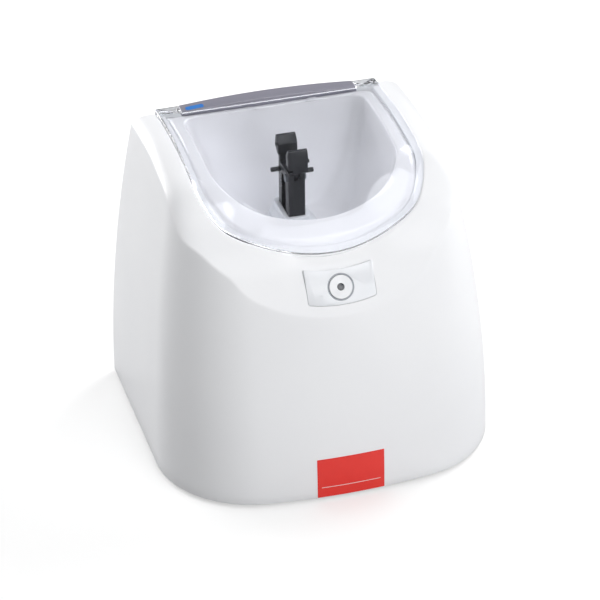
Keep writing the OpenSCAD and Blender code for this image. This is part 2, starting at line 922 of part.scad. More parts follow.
module front_jaw() {
    color("#26262b")
    difference() {
        union() {
            across(jaw_w)
                polygon([[jaw_front, stem_top_z + 1.2], [jaw_front, front_jaw_z - 4.2],
                    [jaw_front - 3, front_jaw_z], [jaw_front - jaw_t + 0.6, front_jaw_z],
                    [jaw_front - jaw_t - 0.4, front_jaw_z - 5], [jaw_front - jaw_t, stem_top_z + 6],
                    [jaw_front - 4.4, stem_top_z + 1.2]]);
            across(2 * tongue_hw)
                polygon([[jaw_front - 3.4, stem_top_z + 3], [jaw_axis.x - 2.6, jaw_axis.y],
                    [jaw_axis.x - 1.8, jaw_axis.y - 2.4], [jaw_axis.x + 1.8, jaw_axis.y - 2.4],
                    [jaw_axis.x + 2.6, jaw_axis.y], [jaw_front, stem_top_z + 3]]);
            translate([jaw_w / 2 - 1, jaw_front - 2.6, stem_top_z + 2.2])
                rod_x(peg_r, 5);
            translate([jaw_w / 2 - 1, jaw_front - 2.6, stem_top_z + 8.5])
                rod_x(peg_r * 0.8, 2.4);
            translate([-jaw_w / 2 - 1.6, jaw_front - 2.6, stem_top_z + 4.5])
                rod_x(2.6, 3);
        }
        translate([-stem_w, jaw_axis.x, jaw_axis.y])
            rod_x(jaw_pin_r + run_gap, 2 * stem_w);
    }
}

module jaw_pin() {
    color("silver")
    translate([-stem_w / 2, jaw_axis.x, jaw_axis.y])
        rod_x(jaw_pin_r, stem_w);
    for (x = [-stem_w / 2 - 1.2, stem_w / 2])
        translate([x, jaw_axis.x, jaw_axis.y])
            rod_x(2.4, 1.2);
}

// Points of a helix of radius r with n turns over a length l
function helix(r, l, n, steps = 16) =
    [for (i = [0 : n * steps]) [r * cos(360 * i / steps), r * sin(360 * i / steps), l * i / (n * steps)]];

// Tube of radius r and sides m along points p
module tube(p, r, m = 8) {
    n = len(p);
    dirs = [for (i = [0 : n - 1]) let (d = p[min(i + 1, n - 1)] - p[max(i - 1, 0)]) d / norm(d)];
    ref = [0.37, 0.29, 0.88];
    us = [for (d = dirs) let (u = cross(d, ref)) u / norm(u)];
    vs = [for (i = [0 : n - 1]) cross(dirs[i], us[i])];
    polyhedron(
        points = [for (i = [0 : n - 1], j = [0 : m - 1])
            p[i] + r * (cos(360 * j / m) * us[i] + sin(360 * j / m) * vs[i])],
        faces = concat(
            [[for (j = [m - 1 : -1 : 0]) j]],
            [[for (j = [0 : m - 1]) (n - 1) * m + j]],
            [for (i = [0 : n - 2], j = [0 : m - 1], half = [0, 1])
                let (a = i * m + j, b = i * m + (j + 1) % m)
                half == 0 ? [a, b, b + m] : [a, b + m, a + m]]));
}

// Two torsion springs round the jaw's pin, each with a leg down on the slot's floor
module jaw_spring() {
    coil = helix(jaw_pin_r + spring_wire_r + 0.15, 1.1, 2, 12);
    r = jaw_pin_r + spring_wire_r + 0.15;
    color("silver")
    both_sides()
        translate([tongue_hw + 0.5, jaw_axis.x, jaw_axis.y])
            rotate([0, 90, 0])
                tube(concat([[5.2, 0.6 + r, 0], [2.6, 0.3 + r, 0]], [for (p = coil) [-p.y, p.x, p.z]]),
                    spring_wire_r, 6);
}

module arm_screws() {
    color("silver")
    for (z = [stem_bottom + 3, stem_bottom + 7.5])
        translate([-stem_w / 2, arm_y, z])
            rotate([0, -90, 0])
                screw(1.25, stem_w - 0.5, 2, 1.2);
}

// YOKE, BEARING AND SHAFT
yoke_r = 19;
yoke_w = 12;
race_r = 16.5;
trunnion_r = 3;
trunnion_end = 31;
post_in = 22;
post_t = 6;

module at_axis() {
    translate([0, arm_y, axis_z])
        children();
}

module arm_yoke() {
    color("silver")
    at_axis()
        difference() {
            union() {
                translate([-yoke_w / 2, 0, 0])
                    rod_x(yoke_r, yoke_w);
                translate([0, -trunnion_end, 0])
                    rod_y(trunnion_r, 2 * trunnion_end);
                block(-5, 5, -7, 7, yoke_r - 3, 22);
                block(-3, 3, -6, 6, 20, 31.7);
            }
            translate([-yoke_w, 0, 0])
                rod_x(race_r, 2 * yoke_w);
            for (z = [25, 29.5])
                translate([-stem_w, 0, z])
                    rod_x(1.25, 2 * stem_w);
        }
}

// Ring turned about the X axis from a profile drawn as [radius, distance along X]
module turned_x() {
    rotate([0, 90, 0])
        rotate_extrude($fn = 96)
            children();
}

module bearing_ring() {
    color("lightgray")
    at_axis()
        turned_x()
            difference() {
                translate([10, -yoke_w / 2])
                    square([race_r - 10, yoke_w]);
                circle(r = ball_r + run_gap, $fn = 96);
            }
}

module bearing_ball() {
    color("silver")
    at_axis()
        difference() {
            turned_x()
                intersection() {
                    circle(r = ball_r, $fn = 96);
                    translate([0, -7])
                        square([20, 14]);
                }
            rotate([0, hub_tilt, 0])
                translate([-20, 0, 0])
                    rod_x(7, 40);
        }
}

module oblique_hub() {
    color("darkgray")
    at_axis()
        difference() {
            rotate([0, hub_tilt, 0])
                translate([-8.5, 0, 0])
                    rod_x(7, 17);
            translate([-20, 0, 0])
                rod_x(shaft_r, 40);
        }
}

weight_x = -19;
weight_t = 6;
module counterweight() {
    color("dimgray")
    at_axis()
        difference() {
            translate([weight_x, 0, 0])
                union() {
                    rod_x(6.5, weight_t);
                    intersection() {
                        rod_x(20, weight_t);
                        block(-1, weight_t + 1, -30, 30, -30, 0);
                    }
                }
            translate([-40, 0, 0])
                rod_x(shaft_r, 80);
            translate([weight_x + weight_t / 2, 0, 0])
                cylinder(r = 1.25, h = 20);
        }
}

module grub_screws() {
    color("black")
    at_axis()
        translate([weight_x + weight_t / 2, 0, shaft_r])
            cylinder(r = 1.25, h = 3.2);
}

module motor_shaft() {
    color("silver")
    at_axis()
        translate([weight_x - 2, 0, 0])
            rod_x(shaft_r, can_x + motor_l + 7 - weight_x);
}

boss_ring_r = 10;
module motor_body() {
    color("gray")
    at_axis()
        difference() {
            union() {
                translate([can_x, 0, 0])
                    rod_x(motor_r, motor_l);
                translate([plate_x - 1, 0, 0])
                    rod_x(boss_ring_r, bracket_t + 2);
            }
            translate([-20, 0, 0])
                rod_x(shaft_r + run_gap, 140);
            for (a = [45 : 90 : 315])
                rotate([a, 0, 0])
                    translate([can_x - 1, 0, 19])
                        rod_x(1.5, 8);
        }
}

module motor_end_cap() {
    color("black")
    at_axis()
        difference() {
            translate([can_x + motor_l, 0, 0])
                union() {
                    rod_x(motor_r - 2, 3);
                    rod_x(8, 6);
                    block(2, 7, 12, 15, -3, 3);
                    block(2, 7, -15, -12, -3, 3);
                }
            translate([-20, 0, 0])
                rod_x(shaft_r + run_gap, 140);
        }
}

module motor_screws() {
    color("silver")
    at_axis()
        for (a = [45 : 90 : 315])
            rotate([a, 0, 0])
                translate([plate_x, 0, 19])
                    rotate([0, -90, 0])
                        screw(1.5, bracket_t + 5, 2.7, 1.8);
}

tray_z = plate_top + mount_h;
module motor_bracket() {
    color("lightsteelblue")
    difference() {
        union() {
            block(-30, can_x + motor_l + 5.5, arm_y - 38, arm_y + 38, tray_z, tray_z + bracket_t);
            block(plate_x, plate_x + bracket_t, arm_y - 30, arm_y + 30, tray_z, axis_z + 27);
            for (s = [-1, 1])
                translate([0, arm_y + s * (post_in + post_t / 2), 0])
                    block(-9, 9, -post_t / 2, post_t / 2, tray_z, axis_z + 9);
        }
        at_axis() {
            translate([-30, 0, 0])
                rod_x(boss_ring_r, 60);
            translate([0, -60, 0])
                rod_y(6, 120);
            for (a = [45 : 90 : 315])
                rotate([a, 0, 0])
                    translate([plate_x - 1, 0, 19])
                        rod_x(1.5, 8);
        }
        for (p = mount_spots)
            translate([p.x, p.y, 0])
                cylinder(r = mount_screw_r + 0.2, h = 40);
    }
}

module trunnion_bushes() {
    color("goldenrod")
    at_axis()
        for (s = [-1, 1])
            translate([0, s * (post_in + post_t / 2) - post_t / 2 - (s < 0 ? 0.8 : 0), 0])
                difference() {
                    rod_y(6, post_t + 0.8);
                    translate([0, -1, 0])
                        rod_y(trunnion_r + run_gap, 20);
                }
}

module trunnion_clips() {
    color("silver")
    at_axis()
        for (s = [-1, 1])
            translate([0, s * (post_in + post_t + 1.9) - 0.4, 0])
                difference() {
                    rod_y(5.2, 0.8);
                    translate([0, -1, 0])
                        rod_y(trunnion_r, 3);
                    block(-1.6, 1.6, -1, 3, -8, 0);
                }
}

module rubber_mounts() {
    color("black")
    for (p = mount_spots)
        translate([p.x, p.y, plate_top])
            difference() {
                cylinder(r = 7, h = mount_h);
                translate([0, 0, -1])
                    cylinder(r = mount_screw_r, h = 40);
            }
}

module mount_screws() {
    color("silver")
    for (p = mount_spots)
        translate([p.x, p.y, tray_z + bracket_t])
            screw(mount_screw_r, mount_h + bracket_t + plate_t - 0.5, 4, 2.2);
}

// ELECTRICS
module transformer_core() {
    color("dimgray")
    difference() {
        union() {
            block(trafo_x - 24, trafo_x + 24, trafo_y - 13, trafo_y + 13, plate_top, plate_top + 42);
            block(trafo_x - 24, trafo_x + 24, trafo_y - 22, trafo_y + 22, plate_top, plate_top + 2);
        }
        block(trafo_x - 16, trafo_x - 8, trafo_y - 30, trafo_y + 30, plate_top + 8, plate_top + 34);
        block(trafo_x + 8, trafo_x + 16, trafo_y - 30, trafo_y + 30, plate_top + 8, plate_top + 34);
    }
}

module transformer_coil() {
    color("orange")
    difference() {
        block(trafo_x - 15.7, trafo_x + 15.7, trafo_y - 20, trafo_y + 20, plate_top + 8.3,
            plate_top + 33.7);
        block(trafo_x - 8, trafo_x + 8, trafo_y - 13, trafo_y + 13, plate_top, plate_top + 60);
    }
}

module control_board() {
    color("green")
    difference() {
        block(-board_hw, board_hw, board_front, board_rear, board_z, board_z + board_t);
        for (p = board_spots)
            translate([p.x, p.y, 0])
                cylinder(r = 1.6, h = 40);
    }
}

module capacitors() {
    color("navy")
    for (x = [board_hw - 24, board_hw - 38])
        translate([-x, board_front + 16, board_z + board_t])
            cylinder(r = 6, h = 22);
}

module relay() {
    color("black")
    translate([0, board_front + 10, board_z + board_t])
        cube([19, 16, 15]);
}

module heat_sink() {
    color("silver")
    translate([board_hw - 28, board_front + 14, board_z + board_t]) {
        cube([14, 2.5, 24]);
        for (i = [0 : 3])
            translate([4 * i, 2, 0])
                cube([1.6, 10, 24]);
    }
}

module board_standoffs() {
    color("white")
    for (p = board_spots)
        translate([p.x, p.y, plate_top])
            difference() {
                cylinder(r = 3.2, h = board_z - plate_top);
                translate([0, 0, 2])
                    cylinder(r = 1.25, h = 20);
            }
}

module board_screws() {
    color("silver")
    for (p = board_spots)
        translate([p.x, p.y, board_z + board_t])
            screw(1.25, 7, 2.5, 1.8);
}

inlet_mid = [-inlet_x, inlet_z + 4];
module pin_shapes() {
    for (p = [[-7, -1], [0, 2.5], [7, -1]])
        translate([inlet_mid.x + p.x - 1, rear_y - 22, inlet_mid.y + p.y - 2])
            cube([2, 17, 4]);
}

module mains_inlet() {
    color("black")
    difference() {
        union() {
            block(-inlet_x - 15.5, -inlet_x + 15.5, rear_y, rear_y + flange_t, inlet_z - 17.5,
                inlet_z + 17.5);
            block(-inlet_x - 13.5, -inlet_x + 13.5, rear_y - 24, rear_y + eps, inlet_z - 15.5,
                inlet_z + 15.5);
        }
        block(inlet_mid.x - 11.5, inlet_mid.x + 11.5, rear_y - 16, rear_y + 5, inlet_mid.y - 7.5,
            inlet_mid.y + 7.5);
        block(-inlet_x - 8.3, -inlet_x + 8.3, rear_y - 21, rear_y + 5, inlet_z - 14.3, inlet_z - 6.7);
        pin_shapes();
    }
}

module inlet_pins() {
    color("silver")
    pin_shapes();
}

module fuse_drawer() {
    color("#303034")
    difference() {
        block(-inlet_x - 8, -inlet_x + 8, rear_y - 18, rear_y + flange_t, inlet_z - 14, inlet_z - 7);
        block(-inlet_x - 5, -inlet_x + 5, rear_y - 15, rear_y - 3, inlet_z - 12, inlet_z);
        block(-inlet_x - 3, -inlet_x + 3, rear_y + flange_t - 0.8, rear_y + 9, inlet_z - 20, inlet_z - 12);
    }
}

rocker_axis_y = rear_y - 3;
module switch_frame() {
    color("black")
    translate([-switch_x, 0, inlet_z])
        difference() {
            union() {
                block(-7.7, 7.7, rear_y, rear_y + flange_t, -10.8, 10.8);
                block(-6.5, 6.5, rear_y - 14, rear_y + eps, -9.6, 9.6);
            }
            block(-5, 5, rear_y - 9, rear_y + 5, -8.4, 8.4);
            translate([-6.5, rocker_axis_y, 0])
                rod_x(1.2, 13);
        }
}

module power_rocker() {
    color("#303034")
    translate([-switch_x, rocker_axis_y, inlet_z])
        rotate([-6, 0, 0])
            union() {
                across(9.4)
                    intersection() {
                        translate([-2, 0])
                            circle(r = 7.6);
                        translate([-3.5, -7.2])
                            square([8, 14.4]);
                    }
                translate([-6.4, 0, 0])
                    rod_x(1.15, 12.8);
            }
}

// Leads: inlet to switch, inlet to transformer, transformer to board, board to motor, and
// board to start switch along the front wall
lead_r = 1.1;
coil_front = trafo_y - 20;
coil_back = trafo_y + 20;
board_face = board_z + board_t;
inlet_back = rear_y - 24.1;
tab_x = can_x + motor_l + 4.5;
tab_y = arm_y - 13.5;
can_low = axis_z - motor_r;
board_edge = board_rear - 4;
lead_routes = [
    [[-inlet_x - 4, inlet_back, inlet_z + 8], [-inlet_x - 4, inlet_back - 6, inlet_z + 8],
        [trafo_x, coil_back + 6, plate_top + 28], [trafo_x, coil_back + 0.25, plate_top + 28]],
    [[-inlet_x + 9, inlet_back, inlet_z + 8], [-inlet_x + 12, inlet_back - 6, inlet_z + 8],
        [-switch_x - 8, inlet_back - 2, inlet_z + 6], [-switch_x - 3, rear_y - 20, inlet_z + 4],
        [-switch_x - 3, rear_y - 14.1, inlet_z + 4]],
    [[trafo_x + 6, coil_front - 0.25, plate_top + 24], [trafo_x + 6, coil_front - 6, plate_top + 24],
        [trafo_x + 14, coil_front - 16, board_z + 8], [12 - board_hw, board_rear + 2, board_z + 5],
        [14 - board_hw, board_edge - 2, board_z + 5], [14 - board_hw, board_edge - 2, board_face + 0.25]],
    [[board_hw - 24, board_edge - 6, board_face + 0.25],
        [board_hw - 24, board_edge - 6, board_face + 2],
        [board_hw - 24, board_edge - 6, board_z + 6], [board_hw - 10, board_rear + 3, board_z + 6],
        [board_hw + 8, board_rear + 8, board_z + 7], [side_x - 19, board_rear + 15, board_z + 10],
        [side_x - 14, tab_y - 12.5, can_low - 1], [tab_x + 5, tab_y - 4, can_low + 11],
        [tab_x, tab_y, can_low + 19], [tab_x, tab_y, axis_z - 3.1]]];

// Place just inside the front wall at a height z
function by_front(z) = [14, front_y + lean(z, front_curve_r) + wall + lead_r + 2.8, z];
switch_pin = brow - button_drop * slope_dir + 13.8 * [slope_dir.y, -slope_dir.x];
front_lead = concat(
    [[14, board_front + 4, board_face + 0.25], [14, board_front + 4, board_face + 2],
        [14, board_front + 4, board_z + 7]],
    [for (z = [0.19, 0.27, 0.35, 0.43]) by_front(z * crown_z)],
    [[panel_x + 11, switch_pin.x - 10, switch_pin.y - 24],
        [panel_x + 7, switch_pin.x - 3.5, switch_pin.y - 10],
        [panel_x + 4, switch_pin.x + 0.3, switch_pin.y - 1.6]]);

function eased(p) =
    smooth(concat([2 * p[0] - p[1]], p, [2 * p[len(p) - 1] - p[len(p) - 2]]), 4);

module wiring_loom() {
    color("black")
    for (p = concat(lead_routes, [front_lead]))
        tube(eased(p), lead_r, 8);
}

housing();
base_plate();
feet();
base_screws();
front_label();
mixing_bowl();
bowl_seal();
bowl_screws();
boot_ring();
arm_boot();
lid();
lid_bar();
bar_badge();
lid_magnet();
hinge_pins();
lid_sensor();
button_panel();
button_ring();
start_button();
button_lens();
switch_plunger();
tact_switch();
switch_board();
switch_screws();
fork_arm();
front_jaw();
jaw_pin();
jaw_spring();
arm_screws();
arm_yoke();
bearing_ring();
bearing_ball();
oblique_hub();
counterweight();
grub_screws();
motor_shaft();
motor_body();
motor_end_cap();
motor_screws();
motor_bracket();
trunnion_bushes();
trunnion_clips();
rubber_mounts();
mount_screws();
transformer_core();
transformer_coil();
control_board();
capacitors();
relay();
heat_sink();
board_standoffs();
board_screws();
mains_inlet();
inlet_pins();
fuse_drawer();
switch_frame();
power_rocker();
wiring_loom();
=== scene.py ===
# %% [markdown]
# # A capsule mixer for the dental surgery
# The machine is a white moulded housing with a clear lid, a mixing bowl and a black fork
# that shakes one capsule. The CAD model already holds every piece in its place, in metres.
# This script loads it as a fixed frame and dresses it: it builds finer meshes for what the
# eye meets first, and gives every other piece a finish of its own.

import math

import bmesh
import bpy
from mathutils import Matrix, Vector


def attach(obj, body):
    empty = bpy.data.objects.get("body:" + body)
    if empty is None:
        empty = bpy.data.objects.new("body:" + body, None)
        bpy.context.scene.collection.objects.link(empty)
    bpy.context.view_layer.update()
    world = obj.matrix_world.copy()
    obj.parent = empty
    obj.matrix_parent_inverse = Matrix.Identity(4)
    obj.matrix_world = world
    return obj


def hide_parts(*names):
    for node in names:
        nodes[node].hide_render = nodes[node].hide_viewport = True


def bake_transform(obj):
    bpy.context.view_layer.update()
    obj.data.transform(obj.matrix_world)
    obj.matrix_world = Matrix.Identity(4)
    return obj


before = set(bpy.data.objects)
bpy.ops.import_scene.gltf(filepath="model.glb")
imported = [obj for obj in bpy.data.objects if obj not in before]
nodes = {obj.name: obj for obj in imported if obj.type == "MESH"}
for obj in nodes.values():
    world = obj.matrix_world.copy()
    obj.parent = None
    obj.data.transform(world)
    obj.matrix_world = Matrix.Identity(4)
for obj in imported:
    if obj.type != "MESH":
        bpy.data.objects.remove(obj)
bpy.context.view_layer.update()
MM = 0.001
print("frame loaded:", len(nodes), "nodes")

# %% [markdown]
# The camera comes first, because every later choice is judged through it. Its place was
# solved from the machine's own symmetric outline, so it is given as a turn, a height angle,
# a small roll, a distance, and a focal length in pixels of the square picture.

# %% Set up the camera
PICTURE = 600
camera_turn = math.radians(-16.1853)
camera_height = math.radians(31.6052)
camera_roll = math.radians(-0.6189)
focal_pixels = 2798.90
aim_right, aim_up, camera_distance = -5.3577, 73.2065, 1760.786

back = Vector((math.sin(camera_turn) * math.cos(camera_height),
               -math.cos(camera_turn) * math.cos(camera_height), math.sin(camera_height)))
level = Vector((math.cos(camera_turn), math.sin(camera_turn), 0))
upward = back.cross(level)
right = level * math.cos(camera_roll) + upward * math.sin(camera_roll)
up = upward * math.cos(camera_roll) - level * math.sin(camera_roll)

lens = bpy.data.cameras.new("photo_camera")
lens.sensor_fit = "HORIZONTAL"
lens.sensor_width = 36
lens.lens = focal_pixels * lens.sensor_width / PICTURE
lens.clip_end = 20
camera = bpy.data.objects.new("photo_camera", lens)
place = (right * aim_right + up * aim_up + back * camera_distance) * MM
turn = Matrix((right, up, back)).transposed().to_4x4()
camera.matrix_world = Matrix.Translation(place) @ turn
bpy.context.scene.collection.objects.link(camera)
bpy.context.scene.camera = camera
print("camera stands", round(place.length, 3), "m away, lens", round(lens.lens, 1), "mm")

# %% [markdown]
# Every finish is a small network of shader nodes. Writing each link by hand is long, so one
# function adds a node, sets its values and joins its sockets, and another turns a colour as
# it is named on a screen into the linear light that the renderer works in. Plastics, films
# and metals share four steps: a noise, two tints mixed by it, a drifting gloss and a bump.

# %% Helpers for materials


def colour(name):
    """Linear red, green, blue and alpha of a screen colour such as F2F3F5."""
    values = [int(name[i:i + 2], 16) / 255 for i in (0, 2, 4)]
    linear = [v / 12.92 if v <= 0.04045 else ((v + 0.055) / 1.055) ** 2.4 for v in values]
    return (*linear, 1)


def add(material, kind, inputs=None, **settings):
    """Adds a node of a kind to a material, sets it up, and links or fills its inputs."""
    tree = material.node_tree
    node = tree.nodes.new(kind)
    for key, value in settings.items():
        setattr(node, key, value)
    for key, value in (inputs or {}).items():
        if isinstance(value, bpy.types.NodeSocket):
            tree.links.new(value, node.inputs[key])
        else:
            node.inputs[key].default_value = value
    return node


def blank(name):
    """A new material with nothing in its network."""
    material = bpy.data.materials.new(name)
    material.use_nodes = True
    material.node_tree.nodes.clear()
    return material


def noise(material, size, detail):
    """A noise in a piece's own space, with grains of a size in mm."""
    place = add(material, "ShaderNodeTexCoord").outputs["Object"]
    return add(material, "ShaderNodeTexNoise", {"Vector": place, "Scale": 1 / (size * MM),
                                                "Detail": detail}).outputs["Fac"]


def tinted(material, fac, tint, shade):
    """Two close tints, mixed by a noise."""
    return add(material, "ShaderNodeMix", {"Factor": fac, "A": colour(tint), "B": colour(shade)},
               data_type="RGBA").outputs["Result"]


def drifting(material, fac, rough):
    """A roughness that drifts with a noise from one value to another."""
    return add(material, "ShaderNodeMapRange",
               {"Value": fac, "From Min": 0.3, "From Max": 0.7, "To Min": rough[0],
                "To Max": rough[1]}).outputs["Result"]


def bumpy(material, fac, depth, strength=1.0):
    """A bump as deep as a noise is high, in mm."""
    return add(material, "ShaderNodeBump", {"Height": fac, "Distance": depth * MM,
                                            "Strength": strength}).outputs["Normal"]


def surface(material, inputs):
    """Closes a material with one principled surface."""
    skin = add(material, "ShaderNodeBsdfPrincipled", inputs)
    add(material, "ShaderNodeOutputMaterial", {"Surface": skin.outputs["BSDF"]})
    return material


print("material helpers ready")

# %% [markdown]
# Most of the machine is moulded plastic. A mould is spark eroded or blasted, so the plastic
# carries a fine pebble that blurs its shine, and its gloss drifts a little over a hand's
# width because of how the melt cooled. Both come from noise measured in real millimetres.

# %% Moulded plastic and rubber


def moulded(name, tint, shade, rough, grain, depth, drift=60, coat=0.0, subsurface=0.0, painted_glow=0.0):
    """Moulded plastic: two close tints, a roughness pair, grain size, depth and drift in mm, and
    a glow that is painted light.
    """
    material = blank(name)
    cloud = noise(material, drift, 2.0)
    # The glow, emitted in the plastic's own tint, is painted light: the part shines though it is
    # no lamp.
    return surface(material, {
        "Base Color": tinted(material, cloud, tint, shade),
        "Roughness": drifting(material, cloud, rough),
        "Normal": bumpy(material, noise(material, grain, 2.0), depth), "IOR": 1.5,
        "Coat Weight": coat, "Coat Roughness": 0.12, "Subsurface Weight": subsurface,
        "Subsurface Radius": (4 * MM, 4 * MM, 4 * MM), "Emission Color": colour(tint),
        "Emission Strength": painted_glow})


print("moulded plastic can be made")

# %% The moulded finishes
# White ABS with a fine satin grain: a broad, soft highlight along each edge.
housing_abs = moulded("housing_satin_abs", "F4F5F7", "EFF0F3", (0.30, 0.38), 0.5, 0.006)
# The bowl is polished in its mould, so that amalgam wipes off: a sharper highlight. A faint
# glow in its own white is painted light that brightens its inside.
bowl_abs = moulded("bowl_polished_abs", "F3F3F5", "EEEEF1", (0.16, 0.24), 1.2, 0.003, coat=0.3,
                   painted_glow=0.055)
# Soft thermoplastic rubber, slightly translucent, with no clear highlight.
boot_rubber = moulded("boot_soft_elastomer", "EEF0F2", "E3E6EA", (0.5, 0.62), 0.4, 0.01,
                      subsurface=0.15)
# Glass-filled nylon: black, with a grey sheen where the light grazes it.
fork_nylon = moulded("fork_black_nylon", "0F1015", "18191F", (0.26, 0.40), 0.45, 0.012, 25)
# The bar is tinted ABS under a clear edge: mid grey with a breath of violet.
bar_abs = moulded("bar_grey_abs", "908F9B", "858490", (0.26, 0.36), 0.5, 0.006, coat=0.2)
# The base is the same plastic, unpolished and grey, and it looks dull.
base_abs = moulded("base_grey_abs", "93979B", "84888D", (0.5, 0.6), 0.8, 0.02)
# Rubber takes the light without a highlight.
foot_rubber = moulded("foot_black_rubber", "2A2B2D", "202123", (0.7, 0.85), 0.5, 0.03)
# Switches and sockets are of harder, darker plastics with a faint sheen.
black_pc = moulded("socket_black_polycarbonate", "1A1B1D", "131416", (0.34, 0.46), 0.5, 0.01)
relay_pbt = moulded("relay_black_pbt", "26272A", "1F2023", (0.4, 0.55), 0.5, 0.01)
# Natural nylon is milky, because light wanders through it.
nylon = moulded("spacer_natural_nylon", "DEDED8", "D2D2CB", (0.4, 0.5), 0.6, 0.01,
                subsurface=0.1)
# Leads and sleeves are soft PVC, a little waxy.
cable_pvc = moulded("lead_black_pvc", "242528", "1B1C1F", (0.4, 0.5), 0.8, 0.01)
sleeve_pvc = moulded("capacitor_blue_sleeve", "284274", "223861", (0.25, 0.35), 1.0, 0.01)
print("moulded finishes:", len(bpy.data.materials))

# %% [markdown]
# Printed film, paint and lacquer share one build: a flat colour, a faint mottle, and a clear
# layer over it. The button panel is such a film, the label another, and the blue patch on
# the bar a third. None of them carries any print here.

# %% Films and lacquers


def film(name, tint, shade, rough, mottle=8, coat=0.5):
    """A coated film or lacquer: a colour with a faint mottle, in mm, under a clear coat."""
    material = blank(name)
    speck = noise(material, mottle, 4.0)
    return surface(material, {
        "Base Color": tinted(material, speck, tint, shade),
        "Normal": bumpy(material, speck, 0.01, 0.6), "Roughness": rough, "Coat Weight": coat,
        "Coat Roughness": 0.1})


print("films can be made")

# %% The films and lacquers
# The panel and its button are pale and smooth, so they read as one plate with the housing.
panel_film = film("panel_pale_film", "EBEDF1", "E4E7EC", 0.35)
ring_film = film("ring_grey_lacquer", "A3A8B0", "979CA5", 0.3)
button_film = film("button_white_lacquer", "F1F2F5", "E9EBEF", 0.28)
lens_film = film("lens_dark_lacquer", "3A3D47", "2C2F38", 0.2)
# The label is printed vinyl: a full red with hardly any shine over it.
label_film = film("label_red_film", "F0382F", "E8322B", 0.4, coat=0.1)
line_film = film("label_white_line", "F8EDEC", "F3E4E3", 0.35)
patch_film = film("patch_blue_film", "3F86D6", "3779CB", 0.3)
# The coil's tape and the boards' mask are coated, and their mottle is finer.
coil_tape = film("coil_amber_tape", "D9A32E", "C58F22", 0.3, 3)
board_mask = film("board_green_mask", "1E6B3C", "185B32", 0.3, 2)
print("films:", label_film.name, panel_film.name)

# %% [markdown]
# Metal has no colour under its shine: the tint is the shine. What tells a turned pin from a
# rolled sheet is the direction of the fine scratches, so a noise is stretched along the
# cut, and it drives both the roughness and a very shallow bump.

# %% Metals


def metal(name, tint, shade, rough, streak=(0.3, 0.3, 6.0), depth=0.004):
    """A metal with scratches whose spacing along X, Y and Z is given in mm."""
    material = blank(name)
    place = add(material, "ShaderNodeTexCoord").outputs["Object"]
    stretch = add(material, "ShaderNodeMapping",
                  {"Vector": place, "Scale": [1 / (s * MM) for s in streak]})
    lines = add(material, "ShaderNodeTexNoise", {"Vector": stretch.outputs["Vector"],
                                                 "Scale": 1.0, "Detail": 3.0}).outputs["Fac"]
    return surface(material, {
        "Base Color": tinted(material, lines, tint, shade),
        "Roughness": drifting(material, lines, rough),
        "Normal": bumpy(material, lines, depth), "Metallic": 1.0})


print("metals can be made")

# %% The metals
# Plated screws and bright wire have fine marks in no clear direction.
zinc_screw = metal("screw_zinc_plate", "B9BBBD", "A5A8AC", (0.25, 0.4), (0.4, 0.4, 0.4))
spring_wire = metal("spring_bright_wire", "ADAFB2", "9A9CA0", (0.2, 0.32), (0.5, 0.5, 0.5))
magnet_plate = metal("magnet_nickel_plate", "CFCFCB", "BDBDB9", (0.1, 0.2), (0.5, 0.5, 0.5))
black_steel = metal("grub_black_oxide", "3B3C3F", "2E2F32", (0.4, 0.5), (0.4, 0.4, 0.4))
# Cast and sintered metal is grainy and dull.
cast_alloy = metal("yoke_cast_aluminium", "B8BABD", "A3A6AA", (0.38, 0.55), (0.8, 0.8, 0.8), 0.03)
bronze = metal("bush_sintered_bronze", "B98E50", "9F7740", (0.4, 0.55), (0.3, 0.3, 0.3), 0.02)
# Ground and turned steel shows rings round its axis and draws the highlight into a band.
ground_pin = metal("pin_ground_steel", "C8CACC", "B8BABD", (0.12, 0.22), (6.0, 0.2, 0.2))
race_steel = metal("race_ground_steel", "C9CBCD", "BCBEC1", (0.1, 0.18), (0.2, 4.0, 4.0))
turned_steel = metal("hub_turned_steel", "94979B", "84878C", (0.22, 0.36), (0.25, 5.0, 5.0))
# Rolled, drawn and extruded metal has long marks along one direction.
can_steel = metal("motor_zinc_can", "7C8085", "6C7075", (0.32, 0.46), (8.0, 0.4, 0.4))
sheet_zinc = metal("bracket_zinc_sheet", "A6AAAE", "8F9398", (0.3, 0.45), (12.0, 0.5, 0.5))
lamination = metal("core_varnished_steel", "5B5E62", "43464A", (0.4, 0.55), (20, 20, 0.5), 0.05)
sink_alloy = metal("sink_extruded_aluminium", "AFB3B7", "999DA2", (0.3, 0.45), (0.4, 0.4, 8.0))
pin_brass = metal("contact_plated_brass", "C6A75F", "B4954F", (0.2, 0.3), (0.4, 6.0, 0.4))
print("materials so far:", len(bpy.data.materials))

# %% [markdown]
# The lid is clear plastic about as thick as a coin. The bright rim and the bluish cast come
# from light that travels inside the sheet, so the mesh gets its real thickness and the
# material a real index. Light that has scattered off the bowl, and the lamps' own light,
# go straight through almost untinted: bent, they would arrive as grain.

# %% Clear plastic
lid_clear = blank("lid_clear_copolyester")
lid_skin = add(lid_clear, "ShaderNodeBsdfPrincipled",
               {"Base Color": colour("F8FAFE"), "Roughness": 0.05, "IOR": 1.45,
                "Transmission Weight": 1.0,
                "Normal": bumpy(lid_clear, noise(lid_clear, 30, 1.0), 0.05, 0.5)})
lid_through = add(lid_clear, "ShaderNodeBsdfTransparent", {"Color": colour("FEFEFF")})
ray = add(lid_clear, "ShaderNodeLightPath")
straight = add(lid_clear, "ShaderNodeMath",
               {0: ray.outputs["Is Shadow Ray"], 1: ray.outputs["Is Diffuse Ray"]},
               operation="MAXIMUM")
lid_mix = add(lid_clear, "ShaderNodeMixShader", {0: straight.outputs["Value"],
                                                 1: lid_skin.outputs["BSDF"],
                                                 2: lid_through.outputs["BSDF"]})
add(lid_clear, "ShaderNodeOutputMaterial", {"Surface": lid_mix.outputs["Shader"]})
print("clear plastic:", lid_clear.name)

